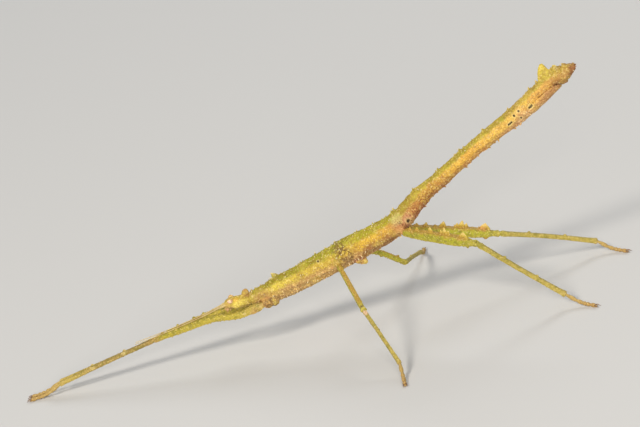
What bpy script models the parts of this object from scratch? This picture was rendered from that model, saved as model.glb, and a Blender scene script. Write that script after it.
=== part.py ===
# Stick insect, life size, standing on its six feet with the abdomen raised behind.
# Sizes are in millimetres and heights are above the ground.
# The head points to -X, the left side is -Y, and the body lies in the plane y = 0.
import math
import random

import bmesh
import bpy
from mathutils import Matrix, Vector

NAME = "stick_insect"
MM = 0.001
GAP = 0.3
SEED = 11

# The middle of the box round the whole insect, which becomes the origin.
BOX_MIDDLE = Vector((-5.451, -1.529, 0.0))

# Body from head to tail: length, rise in degrees, then the half height at the front end,
# middle and rear end of each length. The head has its own table.
BODY_FRONT = (-20.4, 9.15)
BODY = {
    "head": (4.5, -0.5),
    "prothorax": (4.0, 11.5, 1.12, 1.3, 1.3),
    "mesothorax": (14.9, 13.8, 1.55, 1.85, 2.2),
    "metathorax": (11.0, 16.3, 2.24, 2.07, 1.85),
    "abdomen_2": (6.05, 38.8, 1.76, 1.5, 1.58),
    "abdomen_3": (5.0, 29.6, 1.5, 1.46, 1.54),
    "abdomen_4": (5.0, 29.2, 1.46, 1.42, 1.52),
    "abdomen_5": (5.2, 27.5, 1.44, 1.44, 1.56),
    "abdomen_6": (5.5, 25.6, 1.5, 1.55, 1.66),
    "abdomen_7": (5.05, 32.9, 1.64, 1.6, 1.55),
    "abdomen_8": (4.1, 29.0, 1.5, 1.46, 1.32),
    "abdomen_9": (1.5, 17.0, 1.42, 1.5, 1.38),
    "abdomen_10": (2.1, 15.4, 1.3, 1.08, 0.66),
}
# The share that the length behind has in the direction of the joint in front of it.
BEND_SHARE = {"abdomen_2": 0.25}
# Depth below the middle line over height above it, along a length from its front to its
# rear. The seventh length of the abdomen ends below in a step, where the keel starts.
BELLY = {
    "prothorax": ((0.0, 1.0), (1.0, 1.12)),
    "mesothorax": ((0.0, 1.5), (0.5, 1.36), (1.0, 1.12)),
    "metathorax": ((0.0, 1.08), (1.0, 0.93)),
    "abdomen_2": ((0.0, 0.8), (1.0, 1.0)),
    "abdomen_7": ((0.0, 1.06), (0.4, 1.2), (0.43, 0.72), (1.0, 0.72)),
    "abdomen_8": ((0.0, 0.74), (0.8, 0.76), (1.0, 0.95)),
    "abdomen_9": ((0.0, 1.22), (1.0, 1.24)),
    "abdomen_10": ((0.0, 1.24), (1.0, 0.75)),
}
# Height above the middle line over the half height, where the back fills the bend.
BACK = {
    "metathorax": ((0.0, 1.0), (0.8, 1.0), (1.0, 1.18)),
    "abdomen_2": ((0.0, 1.25), (0.2, 1.4), (0.4, 1.52), (0.6, 1.42), (0.8, 1.3), (1.0, 1.16)),
    "abdomen_3": ((0.0, 1.16), (0.5, 1.0), (1.0, 1.0)),
}
BODY_SIDES = 14
STATION_STEP = 1.45

# Head, along its length from 0 at the mouth to 1 at the neck: half width, height, depth.
HEAD_STATIONS = (
    (0.0, 0.55, 0.5, 0.6),
    (0.1, 0.82, 0.82, 0.85),
    (0.24, 0.98, 1.02, 0.98),
    (0.5, 1.08, 1.08, 1.02),
    (0.8, 1.1, 1.02, 1.0),
    (1.0, 0.98, 0.95, 0.95),
)
EYE_RADIUS = 0.45
EYE_PLACE = Vector((-19.2, 0.78, 9.9))
EYE_GAP = 0.24

# Feelers, drawn out forwards above the front legs: the joint on the head, then the route.
FEELER_RADIUS = 0.25
FEELER_SOCKET = (Vector((-19.6, 0.4, 9.2)), Vector((-20.85, 0.44, 9.05)))
FEELER_ROUTE = ((-24.3, 0.42, 8.35), (-29.0, 0.42, 7.45), (-33.5, 0.42, 6.75), (-37.5, 0.42, 6.3))
FEELER_POINTS = 18
FEELER_TIP = 0.35

# Mouth: place and half sizes of the upper lip and of one jaw, then the root, direction,
# length and thickness of one of the short feelers beside it.
LIP = (Vector((-20.35, 0.0, 8.75)), (0.34, 0.5, 0.42))
JAW = (Vector((-20.05, 0.3, 8.35)), (0.42, 0.3, 0.36))
PALP = (Vector((-19.9, 0.42, 8.45)), Vector((-0.45, 0.1, -0.75)), 0.7, 0.36)

# Legs: the place where each pair leaves its coxa, the direction and half thickness of the
# coxa, the lengths of femur, tibia and tarsus, and the half depths of femur and tibia.
COXA_LENGTH = 1.7
ANKLE_HEIGHT = 1.9
TOE_HEIGHT = 0.26
TARSUS_JOINTS = 5
TARSUS_THICK = 0.37
TARSUS_THIN = 0.32
TARSUS_SAG = 0.42
LEGS = {
    "fore": {
        "segment": "prothorax",
        "hip": Vector((-13.6, 1.45, 8.1)),
        "coxa": Vector((-0.86, 0.32, -0.22)),
        "coxa_thick": (1.1, 0.56),
        "tibia": 19.0,
        "tarsus": 6.1,
        "femur_depth": (0.42, 0.6, 0.46),
        "tibia_depth": 0.37,
    },
    "mid": {
        "segment": "mesothorax",
        "hip": Vector((0.8, 2.4, 12.45)),
        "coxa": Vector((0.25, 0.85, -0.45)),
        "coxa_thick": (0.8, 0.56),
        "femur": 13.1,
        "tibia": 12.0,
        "tarsus": 5.2,
        "femur_depth": (0.45, 0.52, 0.5),
        "tibia_depth": 0.38,
    },
    "hind": {
        "segment": "metathorax",
        "hip": Vector((12.95, 1.85, 14.7)),
        "coxa": Vector((0.62, 0.6, -0.5)),
        "coxa_thick": (0.8, 0.56),
        "femur": 15.65,
        "tibia": 16.9,
        "tarsus": 5.9,
        "femur_depth": (0.66, 0.9, 0.55),
        "tibia_depth": 0.45,
    },
}
# The front femora curve under the head before they reach forward.
FORE_FEMUR_ROUTE = ((-18.3, 1.4, 7.25), (-23.0, 1.08, 7.5), (-27.2, 0.8, 6.9))
FORE_KNEE = (-33.9, 0.55, 5.75)
FORE_STAGGER = 0.17

# How each leg is held: headings in degrees of femur, tibia and tarsus seen from above,
# the rise of the femur, how far femur and tibia bow upwards, and how far the coxa holds the
# hip above its mean height.
POSE = {
    ("fore", "left"): {"tibia": 180.0, "tarsus": 181.0, "bow": (0.0, 0.05)},
    ("fore", "right"): {"tibia": 180.0, "tarsus": 179.0, "bow": (0.0, 0.05)},
    ("mid", "left"): {"femur": -71.1, "rise": -17.5, "tibia": -62.0, "tarsus": -82.0,
                      "bow": (0.0, 0.1)},
    ("mid", "right"): {"femur": 34.2, "rise": -32.4, "tibia": 84.0, "tarsus": 90.0,
                       "bow": (1.1, 0.1)},
    ("hind", "left"): {"femur": -37.2, "rise": -3.9, "tibia": -1.0, "tarsus": -36.0,
                       "bow": (0.0, -0.1), "lift": 0.5},
    ("hind", "right"): {"femur": 8.9, "rise": -21.2, "tibia": 10.5, "tarsus": -34.0,
                        "bow": (-0.1, 0.2), "lift": -0.5},
}
LIMB_SIDES = 10
LIMB_WIDTH = 0.88
SIDES = {"left": -1.0, "right": 1.0}

# Spines of the thorax stand in rows: the number of rows on each length, and for each
# spine of a row its angle up from the side and its height.
THORAX_ROWS = {"prothorax": 2, "mesothorax": 5, "metathorax": 4}
ROW_SPINES = ((64.0, 0.34), (24.0, 0.27), (-36.0, 0.27))
ROW_SPREAD = 0.25
SPINE_WIDTH = 0.58
COXA_CLEAR = 1.5
# Single pairs: share of the length, angle, height, length, thickness and lean rearwards.
PAIRS = {
    "head": ((0.85, 66.0, 0.95, 1.5, 0.7, 0.1, 0.45),),
    "mesothorax": ((0.11, 66.0, 0.85, 1.3, 0.6, -0.45, 0.0),),
    "metathorax": ((0.13, -62.0, 1.05, 2.1, 1.2, 0.7, 0.5),),
    "abdomen_10": ((0.2, 74.0, 0.42, 0.8, 0.5, -0.1, 0.0),),
}
# The rear edge of each length of the abdomen: share of the length, angle, height and lean.
ABDOMEN_SPINES = ((0.88, 72.0, 0.4, 0.3), (0.68, -74.0, 0.4, 0.3), (0.4, 26.0, 0.25, 0.1))
# The leaf-like crest on the eighth length: share, height, length, thickness and lean.
CREST = (0.67, 2.1, 2.75, 0.85, 0.9)
CREST_TIP = 0.25
# The keel below the end of the abdomen: places along the body, then inner and outer
# depth and the half width of its hollow.
KEEL = ((0.0, 1.46, 1.94, 1.2), (0.5, 1.44, 1.97, 1.2), (0.8, 1.42, 1.88, 0.9), (1.0, 1.45, 1.77, 0.4))
KEEL_START = ("abdomen_7", 0.44)
KEEL_LENGTH = 6.2
KEEL_SIDES = 7
KEEL_ROUND = 0.55
TAIL_HOLLOW = 0.42
CERCUS = (0.55, 0.45)

# Teeth of the legs: share of the length, height and length of the base, on the upper edge
# of the femur, on its lower edge and on the upper edge of the tibia. They turn outwards by
# the given degrees, which keeps those of the front legs clear of the feelers.
TOOTH_THICKNESS = 0.5
TEETH = {
    "fore": {
        "turn": 30.0,
        "upper": ((0.4, 0.35, 0.8), (0.5, 0.38, 0.8), (0.6, 0.4, 0.9), (0.71, 0.42, 0.9),
                  (0.84, 0.4, 0.8), (0.95, 0.36, 0.7)),
        "lower": (),
        "tibia": ((0.33, 0.32, 0.9), (0.66, 0.3, 0.8)),
    },
    "mid": {
        "turn": 0.0,
        "upper": ((0.2, 0.42, 0.8), (0.5, 0.3, 0.7), (0.86, 0.36, 0.8)),
        "lower": ((0.62, 0.26, 0.7),),
        "tibia": ((0.4, 0.26, 0.7),),
    },
    "hind": {
        "turn": 0.0,
        "upper": ((0.1, 0.5, 0.8), (0.205, 0.62, 0.9), (0.3, 0.32, 0.7), (0.39, 0.85, 1.5),
                  (0.54, 0.7, 1.0), (0.59, 1.15, 1.4), (0.64, 0.75, 1.0), (0.84, 0.95, 2.2)),
        "lower": ((0.6, 0.35, 1.2), (0.86, 0.5, 1.3)),
        "tibia": ((0.3, 0.36, 0.8), (0.67, 0.32, 0.8)),
    },
}
CLAW = (0.85, 0.36)

COLOURS = {
    "head": (0.55, 0.45, 0.14),
    "thorax": (0.50, 0.40, 0.12),
    "abdomen": (0.56, 0.38, 0.14),
    "leg": (0.48, 0.44, 0.12),
    "foot": (0.60, 0.42, 0.20),
    "feeler": (0.58, 0.48, 0.26),
    "eye": (0.75, 0.55, 0.45),
    "tail": (0.58, 0.36, 0.18),
}
SHELL_ROUGHNESS = 0.6
EYE_ROUGHNESS = 0.25


def clear_scene():
    for obj in list(bpy.data.objects):
        bpy.data.objects.remove(obj)


def material(name):
    found = bpy.data.materials.get(name)
    if found:
        return found
    made = bpy.data.materials.new(name)
    made.use_nodes = True
    shader = made.node_tree.nodes["Principled BSDF"]
    shader.inputs["Base Color"].default_value = (*COLOURS[name], 1.0)
    shader.inputs["Roughness"].default_value = EYE_ROUGHNESS if name == "eye" else SHELL_ROUGHNESS
    shader.inputs["Metallic"].default_value = 0.0
    return made


# Points along the body and the limbs

def heading(azimuth, rise):
    azimuth = math.radians(azimuth)
    rise = math.radians(rise)
    flat = math.cos(rise)
    return Vector((flat * math.cos(azimuth), flat * math.sin(azimuth), math.sin(rise)))


def mirrored(vector, side):
    return Vector((vector[0], vector[1] * side, vector[2]))


def body_joints():
    """The joints between the lengths of the body, and the direction of the body at each."""
    points = [Vector((BODY_FRONT[0], 0.0, BODY_FRONT[1]))]
    ways = []
    for length, rise, *_ in BODY.values():
        way = Vector((math.cos(math.radians(rise)), 0.0, math.sin(math.radians(rise))))
        points.append(points[-1] + way * length)
        ways.append(way)
    tangents = [ways[0]]
    for name, before, after in zip(list(BODY)[1:], ways, ways[1:]):
        share = BEND_SHARE.get(name, 0.5)
        tangents.append((before * (1 - share) + after * share).normalized())
    tangents.append(ways[-1])
    return points, tangents


def curve_point(start, end, start_way, end_way, t):
    """A point and direction on the smooth curve that leaves start and arrives at end."""
    span = (end - start).length
    leave = start_way * span
    arrive = end_way * span
    point = (start * (2 * t**3 - 3 * t**2 + 1) + leave * (t**3 - 2 * t**2 + t)
             + end * (3 * t**2 - 2 * t**3) + arrive * (t**3 - t**2))
    way = (start * (6 * t**2 - 6 * t) + leave * (3 * t**2 - 4 * t + 1)
           + end * (6 * t - 6 * t**2) + arrive * (3 * t**2 - 2 * t))
    return point, way.normalized()


def through(points, count):
    """Evenly shared points on a smooth curve through all the given points."""
    points = [Vector(p) for p in points]
    ways = [(points[1] - points[0]).normalized()]
    for before, after in zip(points, points[2:]):
        ways.append((after - before).normalized())
    ways.append((points[-1] - points[-2]).normalized())
    spans = len(points) - 1
    result = []
    for step in range(count + 1):
        reached = step * spans / count
        index = min(int(reached), spans - 1)
        result.append(curve_point(points[index], points[index + 1],
                                  ways[index], ways[index + 1], reached - index))
    return result


# Solids

def ring(centre, way, half_width, height, depth, sides):
    """An oval across the given direction, with its own height above and depth below."""
    across = way.cross(Vector((0, 0, 1))).normalized()
    upward = across.cross(way)
    points = []
    for step in range(sides):
        angle = 2 * math.pi * step / sides
        rise = math.sin(angle)
        reach = height if rise > 0 else depth
        points.append(centre + across * half_width * math.cos(angle) + upward * reach * rise)
    return points


def cut_square(points, way, joint, plane, offset):
    """Slides an end ring along its limb until it lies in the plane of the joint."""
    return [p + way * ((offset - (p - joint).dot(plane)) / way.dot(plane)) for p in points]


def loft(name, rings):
    """A closed solid through rings with equal numbers of points; the last may be a point."""
    shape = bmesh.new()
    loops = [[shape.verts.new(point * MM) for point in points] for points in rings]
    for first, second in zip(loops, loops[1:]):
        for index in range(len(first)):
            following = (index + 1) % len(first)
            side = [first[index], first[following]]
            side += second if len(second) == 1 else [second[following], second[index]]
            shape.faces.new(side)
    shape.faces.new(loops[0])
    if len(loops[-1]) > 1:
        shape.faces.new(loops[-1])
    return finish(name, shape)


def finish(name, shape):
    """Turns the faces outwards and makes an object that isn't in any collection yet."""
    bmesh.ops.recalc_face_normals(shape, faces=shape.faces)
    mesh = bpy.data.meshes.new(name)
    shape.to_mesh(mesh)
    shape.free()
    return bpy.data.objects.new(name, mesh)


def spine(root, upward, along, height, length, thickness, lean=0.0, tip=0.0, sides=5, sunk=0.4):
    """A tapered spine or flat lobe, its root sunk below the surface, its tip leaning."""
    upward = upward.normalized()
    across = upward.cross(along).normalized()
    along = across.cross(upward)

    def outline(level, size, shift):
        middle = root + upward * level + along * shift
        points = []
        for step in range(sides):
            angle = 2 * math.pi * step / sides
            points.append(middle + along * (size * length / 2 * math.cos(angle))
                          + across * (size * thickness / 2 * math.sin(angle)))
        return points

    top = outline(height, tip, lean) if tip else [root + upward * height + along * lean]
    return loft("spine", (outline(-sunk, 1.0, 0.0), outline(0.0, 1.0, 0.0), top))


def ball(centre, radii, turn=None, segments=10, rings=7):
    shape = bmesh.new()
    bmesh.ops.create_uvsphere(shape, u_segments=segments, v_segments=rings, radius=1.0)
    stretch = Matrix.Diagonal((*radii, 1.0))
    pose = Matrix.Translation(centre) @ (turn or Matrix.Identity(4)) @ stretch
    shape.transform(Matrix.Scale(MM, 4) @ pose)
    return finish("ball", shape)


def stub(start, end, start_radius, end_radius, plane=None, offset=0.0, sides=10):
    """A short round piece from start to end, its end face in the plane of a joint."""
    way = (end - start).normalized()
    first = ring(start, way, start_radius, start_radius, start_radius, sides)
    last = ring(end, way, end_radius, end_radius, end_radius, sides)
    if plane is not None:
        last = cut_square(last, way, end, plane, offset)
    return loft("stub", (first, last))


def largest_piece(mesh):
    """Keeps only the largest closed surface of a mesh."""
    shape = bmesh.new()
    shape.from_mesh(mesh)
    left = set(shape.verts)
    pieces = []
    while left:
        stack = [left.pop()]
        piece = set(stack)
        while stack:
            for edge in stack.pop().link_edges:
                for vert in edge.verts:
                    if vert in left:
                        left.discard(vert)
                        piece.add(vert)
                        stack.append(vert)
        pieces.append(piece)
    pieces.sort(key=len)
    scraps = [vert for piece in pieces[:-1] for vert in piece]
    bmesh.ops.delete(shape, geom=scraps, context="VERTS")
    shape.to_mesh(mesh)
    shape.free()


def combine(core, pieces, operation="UNION"):
    """Joins pieces to a solid, or cuts them out of it, and applies the result."""
    if not pieces:
        return core
    scene_objects = bpy.context.scene.collection
    cutters = bpy.data.collections.new("cutters")
    scene_objects.children.link(cutters)
    scene_objects.objects.link(core)
    for piece in pieces:
        cutters.objects.link(piece)
        piece.display_type = "WIRE"
        piece.hide_render = True
    boolean = core.modifiers.new("joined", "BOOLEAN")
    boolean.operation = operation
    boolean.operand_type = "COLLECTION"
    boolean.collection = cutters
    boolean.solver = "EXACT"
    evaluated = core.evaluated_get(bpy.context.evaluated_depsgraph_get())
    joined = bpy.data.meshes.new_from_object(evaluated)
    core.modifiers.clear()
    core.data = joined
    for piece in pieces:
        bpy.data.objects.remove(piece)
    bpy.data.collections.remove(cutters)
    scene_objects.objects.unlink(core)
    largest_piece(joined)
    return core


def place(obj, name, origin, colour, parts, root):
    """Names a finished piece, puts its origin on its joint and hangs it on the root."""
    obj.name = name
    obj.data.name = name
    obj.data.transform(Matrix.Translation(-origin * MM))
    obj.data.materials.clear()
    obj.data.materials.append(material(colour))
    obj.data.shade_smooth()
    obj.data.set_sharp_from_angle(angle=math.radians(40))
    obj.location = origin * MM
    obj.parent = root
    parts.objects.link(obj)


# Body

def body_lengths():
    """For each length of the body, the function that gives its middle line."""
    points, tangents = body_joints()
    lines = {}
    for index, name in enumerate(BODY):
        lines[name] = (points[index], points[index + 1], tangents[index], tangents[index + 1])
    return lines


def swell(front, middle, rear, t):
    """The value at t of a thickness that is known at both ends and in the middle."""
    return front * (1 - t) * (1 - 2 * t) + 4 * middle * t * (1 - t) + rear * t * (2 * t - 1)


def read_between(stations, t):
    """The values at t of a table of stations, each a share of the length and its values."""
    for before, after in zip(stations, stations[1:]):
        if t <= after[0]:
            break
    share = (t - before[0]) / (after[0] - before[0])
    return [a + (b - a) * share for a, b in zip(before[1:], after[1:])]


def body_section(name, t):
    """Half width, height and depth of a length of the body at a part of its length."""
    if name == "head":
        return read_between(HEAD_STATIONS, t)
    radius = swell(*BODY[name][2:], t)
    belly = read_between(BELLY[name], t)[0] if name in BELLY else 1.0
    back = read_between(BACK[name], t)[0] if name in BACK else 1.0
    return radius, radius * back, radius * belly


def body_core(name, line):
    start, end, start_way, end_way = line
    length = (end - start).length
    if name == "head":
        shares = [station[0] for station in HEAD_STATIONS]
    else:
        count = max(3, round(length / STATION_STEP))
        even = [step / count for step in range(count + 1)]
        steps = [share for share, _ in BELLY.get(name, ())]
        shares = sorted(steps + [t for t in even if all(abs(t - s) > 0.08 for s in steps)])
    rings = []
    for share in shares:
        centre, way = curve_point(start, end, start_way, end_way, share)
        rings.append(ring(centre, way, *body_section(name, share), BODY_SIDES))
    if name != "head":
        rings[0] = cut_square(rings[0], start_way, start, start_way, GAP / 2)
    if name != "abdomen_10":
        rings[-1] = cut_square(rings[-1], end_way, end, end_way, -GAP / 2)
    return loft(name, rings)


def on_body(name, line, t, angle):
    """A point of the surface, the way out of it and the way along the body, at an angle
    in degrees up from the insect's right side."""
    centre, way = curve_point(*line, t)
    half_width, height, depth = body_section(name, t)
    across = way.cross(Vector((0, 0, 1))).normalized() * -1.0
    upward = way.cross(across)
    if upward.z < 0:
        upward = -upward
    sideways = math.cos(math.radians(angle))
    rise = math.sin(math.radians(angle))
    reach = height if rise > 0 else depth
    point = centre + Vector((0, 1, 0)) * half_width * sideways + upward * reach * rise
    outward = (Vector((0, 1, 0)) * sideways + upward * rise).normalized()
    return point, outward, way


def hip_place(leg, side):
    """Where a leg leaves its coxa."""
    return mirrored(LEGS[leg]["hip"], SIDES[side]) + Vector((0, 0, POSE[leg, side].get("lift", 0.0)))


def coxa(leg):
    """The hip joints of a pair of legs, and the two stubs that carry them."""
    stubs = []
    for side in ("left", "right"):
        hip = hip_place(leg, side)
        way = mirrored(LEGS[leg]["coxa"], SIDES[side]).normalized()
        plane = (way + leg_ways(leg, side)[0]).normalized()
        thick = LEGS[leg]["coxa_thick"]
        stubs.append(stub(hip - way * COXA_LENGTH, hip, *thick, plane, -GAP / 2))
    return stubs


def body_spines(name, line):
    """The spines of one length of the body, a pair at a time, left and right alike."""
    pieces = []

    def pair(share, angle, height, length, thickness, lean, tip=0.0):
        for side_angle in (angle, 180.0 - angle):
            root, outward, way = on_body(name, line, share, side_angle)
            pieces.append(spine(root, outward, way, height, length, thickness, lean, tip))

    for pair_sizes in PAIRS.get(name, ()):
        pair(*pair_sizes)
    rows = THORAX_ROWS.get(name, 0)
    hips = [sizes["hip"] for sizes in LEGS.values() if sizes["segment"] == name]
    for row in range(rows):
        for angle, height in ROW_SPINES:
            share = (row + random.uniform(0.35, 0.65)) / rows
            tall = height * random.uniform(1 - ROW_SPREAD, 1 + ROW_SPREAD)
            root, _, _ = on_body(name, line, share, angle)
            if all((root - hip).length > COXA_CLEAR for hip in hips):
                pair(share, angle, tall, SPINE_WIDTH, SPINE_WIDTH, random.uniform(-0.1, 0.15))
    if name.startswith("abdomen") and name not in ("abdomen_9", "abdomen_10"):
        for share, angle, height, lean in ABDOMEN_SPINES:
            if name == "abdomen_8" or (name == "abdomen_7" and angle < 0):
                continue
            pair(share, angle, height * random.uniform(0.85, 1.15), SPINE_WIDTH, SPINE_WIDTH, lean)
    return pieces


def crest(line):
    share, height, length, thickness, lean = CREST
    root, outward, way = on_body("abdomen_8", line, share, 90.0)
    return spine(root, outward, way, height, length, thickness, lean, CREST_TIP, 8, 0.6)


def keel(lines):
    """The boat-shaped plate below the end of the abdomen, clear of the body above it."""
    start_name, start_share = KEEL_START
    start, way = curve_point(*lines[start_name], start_share)
    end = lines["abdomen_8"][1]
    end_way = lines["abdomen_8"][3]
    middle = lines["abdomen_7"][1]
    middle_way = lines["abdomen_7"][3]
    reach = (middle - start).length
    rings = []
    for share, inner, outer, half_width in KEEL:
        distance = GAP + share * KEEL_LENGTH
        if distance < reach:
            centre, along = curve_point(start, middle, way, middle_way, distance / reach)
        else:
            beyond = (distance - reach) / (end - middle).length
            centre, along = curve_point(middle, end, middle_way, end_way, beyond)
        upward = along.cross(Vector((0, 1, 0))) * -1.0
        upward = upward if upward.z > 0 else -upward
        points = []
        for depth, order in ((outer, 1), (inner, -1)):
            for step in range(KEEL_SIDES)[::order]:
                swing = -1 + 2 * step / (KEEL_SIDES - 1)
                rise = depth * math.sqrt(1 - (KEEL_ROUND * swing) ** 2)
                points.append(centre - upward * rise + Vector((0, 1, 0)) * half_width * swing)
        rings.append(points)
    return loft("keel", rings)


def tail_hollow(line):
    """The hollow at the tip of the tail, between the two cerci."""
    return ball(line[1] + line[3] * 0.1, (TAIL_HOLLOW,) * 3)


def cerci(line):
    height, width = CERCUS
    pieces = []
    for sign in SIDES.values():
        root = line[1] - line[3] * 0.25 + Vector((0, sign * 0.42, 0.05))
        way = (line[3] + Vector((0, sign * 0.15, 0))).normalized()
        pieces.append(spine(root, way, Vector((0, 0, 1)), height, width, width, 0.0, 0.3))
    return pieces


def build_body(parts, root):
    lines = body_lengths()
    for name, line in lines.items():
        core = body_core(name, line)
        pieces = body_spines(name, line)
        for leg, sizes in LEGS.items():
            if sizes["segment"] == name:
                pieces += coxa(leg)
        if name == "abdomen_8":
            pieces.append(crest(line))
        if name == "abdomen_10":
            core = combine(core, [tail_hollow(line)], "DIFFERENCE")
            pieces += cerci(line)
        if name == "head":
            core = combine(core, eye_sockets(), "DIFFERENCE")
            pieces += mouthparts() + feeler_sockets()
        core = combine(core, pieces)
        group = "abdomen" if name.startswith("abdomen") else "head" if name == "head" else "thorax"
        place(core, name, line[0], group, parts, root)
    place(keel(lines), "operculum", lines["abdomen_7"][1], "tail", parts, root)


# Legs

def leg_route(leg, side):
    """Hip, knee, ankle and toe of a leg, the last two at their heights above the ground."""
    sizes = LEGS[leg]
    pose = POSE[leg, side]
    sign = SIDES[side]
    hip = hip_place(leg, side)
    if leg == "fore":
        knee = mirrored(FORE_KNEE, sign) - Vector((0, 0, FORE_STAGGER * sign))
    else:
        knee = hip + heading(pose["femur"], pose["rise"]) * sizes["femur"]
    drop = math.degrees(math.asin((ANKLE_HEIGHT - knee.z) / sizes["tibia"]))
    ankle = knee + heading(pose["tibia"], drop) * sizes["tibia"]
    drop = math.degrees(math.asin((TOE_HEIGHT - ankle.z) / sizes["tarsus"]))
    toe = ankle + heading(pose["tarsus"], drop) * sizes["tarsus"]
    return hip, knee, ankle, toe


def bowed(start, end, bow, count):
    """Points and directions on a shallow bow between two joints."""
    way = (end - start).normalized()
    across = way.cross(Vector((0, 0, 1))).normalized()
    upward = across.cross(way)
    middle = (start + end) / 2 + upward * bow
    return through((start, middle, end), count)


def femur_line(leg, side):
    hip, knee, _, _ = leg_route(leg, side)
    if leg == "fore":
        sign = SIDES[side]
        bends = [mirrored(point, sign) for point in FORE_FEMUR_ROUTE]
        return through([hip, *bends, knee], 14)
    return bowed(hip, knee, POSE[leg, side]["bow"][0], 10)


def tibia_line(leg, side):
    _, knee, ankle, _ = leg_route(leg, side)
    return bowed(knee, ankle, POSE[leg, side]["bow"][1], 6)


def leg_ways(leg, side):
    """The directions in which the femur leaves the hip and the leg passes knee and ankle."""
    _, _, ankle, toe = leg_route(leg, side)
    femur = femur_line(leg, side)
    tibia = tibia_line(leg, side)
    tarsus = (toe - ankle).normalized()
    knee = (femur[-1][1] + tibia[0][1]).normalized()
    return femur[0][1], knee, (tibia[-1][1] + tarsus).normalized()


def limb(name, line, sections, start_plane, end_plane):
    """A limb along a line of points, with its ends in the planes of its joints."""
    rings = [ring(centre, way, *section, LIMB_SIDES) for (centre, way), section in zip(line, sections)]
    first, first_way = line[0]
    last, last_way = line[-1]
    rings[0] = cut_square(rings[0], first_way, first, start_plane, GAP / 2)
    if end_plane is not None:
        rings[-1] = cut_square(rings[-1], last_way, last, end_plane, -GAP / 2)
    return loft(name, rings)


def leg_teeth(leg, side, edge, line, sections):
    """The flat teeth along one edge of a limb."""
    sign = -1.0 if edge == "lower" else 1.0
    turn = math.radians(TEETH[leg]["turn"]) * SIDES[side]
    return [leg_tooth(line, sections, tooth, sign, turn) for tooth in TEETH[leg][edge]]


def leg_tooth(line, sections, tooth, sign, turn):
    share, height, length = tooth
    height *= random.uniform(0.92, 1.08)
    step = share * (len(line) - 1)
    index = min(int(step), len(line) - 2)
    part = step - index
    centre = line[index][0].lerp(line[index + 1][0], part)
    way = line[index][1].lerp(line[index + 1][1], part).normalized()
    across = way.cross(Vector((0, 0, 1))).normalized()
    upward = across.cross(way) * sign * math.cos(turn) + Vector((0, 1, 0)) * math.sin(turn)
    root = centre + upward * sections[index][1] * 0.96
    return spine(root, upward, way, height, length, TOOTH_THICKNESS, 0.0, 0.0, 5, 0.28)


def claws(ankle, toe):
    """Two claws, spread to the sides in front of the last joint of a foot."""
    length, width = CLAW
    way = Vector((toe.x - ankle.x, toe.y - ankle.y, 0)).normalized()
    across = way.cross(Vector((0, 0, 1))).normalized()
    pieces = []
    for sign in SIDES.values():
        root = toe - way * 0.05 + across * sign * 0.12 + Vector((0, 0, 0.06))
        point = (way + across * sign * 0.55 - Vector((0, 0, 0.02))).normalized()
        pieces.append(spine(root, point, Vector((0, 0, 1)), length, width, width, -0.16, 0.0, 5, 0.3))
    return pieces


def build_leg(leg, side, parts, root):
    sizes = LEGS[leg]
    hip, knee, ankle, toe = leg_route(leg, side)
    hip_way, knee_way, ankle_way = leg_ways(leg, side)
    coxa_way = mirrored(sizes["coxa"], SIDES[side]).normalized()
    hip_plane = (hip_way + coxa_way).normalized()

    line = femur_line(leg, side)
    count = len(line) - 1
    sections = []
    for step in range(count + 1):
        depth = swell(*sizes["femur_depth"], step / count)
        sections.append((depth * LIMB_WIDTH, depth, depth))
    femur = limb("femur", line, sections, hip_plane, knee_way)
    combine(femur, leg_teeth(leg, side, "upper", line, sections)
            + leg_teeth(leg, side, "lower", line, sections))
    place(femur, f"femur_{leg}_{side}", hip, "leg", parts, root)

    line = tibia_line(leg, side)
    count = len(line) - 1
    sections = []
    for step in range(count + 1):
        depth = sizes["tibia_depth"] * swell(1.1, 0.95, 1.1, step / count)
        sections.append((depth, depth, depth))
    tibia = limb("tibia", line, sections, knee_way, ankle_way)
    combine(tibia, leg_teeth(leg, side, "tibia", line, sections))
    place(tibia, f"tibia_{leg}_{side}", knee, "foot", parts, root)

    line = through((ankle, (ankle + toe) / 2 - Vector((0, 0, TARSUS_SAG)), toe), 2 * TARSUS_JOINTS)
    sections = []
    for step in range(len(line)):
        half = TARSUS_THICK if step % 2 else TARSUS_THIN
        sections.append((half, half, half))
    tarsus = limb("tarsus", line, sections, ankle_way, None)
    for vert in tarsus.data.vertices:
        vert.co.z = max(vert.co.z, 0.0)
    combine(tarsus, claws(ankle, toe))
    place(tarsus, f"tarsus_{leg}_{side}", ankle, "foot", parts, root)


# Eyes, mouth and feelers

def eye_sockets():
    return [ball(mirrored(EYE_PLACE, sign), (EYE_RADIUS + EYE_GAP,) * 3) for sign in SIDES.values()]


def mouthparts():
    """Upper lip, two jaws and two feelers of the mouth, below the front of the head."""
    pieces = [ball(*LIP)]
    root, way, length, thickness = PALP
    for sign in SIDES.values():
        pieces.append(ball(mirrored(JAW[0], sign), JAW[1]))
        pieces.append(spine(mirrored(root, sign), mirrored(way, sign), Vector((0, sign, 0)),
                            length, thickness, thickness, 0.0, 0.5))
    return pieces


def feeler_sockets():
    pieces = []
    for sign in SIDES.values():
        start, end = (mirrored(point, sign) for point in FEELER_SOCKET)
        way = (end - start).normalized()
        pieces.append(stub(start, end, FEELER_RADIUS + 0.1, FEELER_RADIUS + 0.03, way, 0.0))
    return pieces


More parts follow.
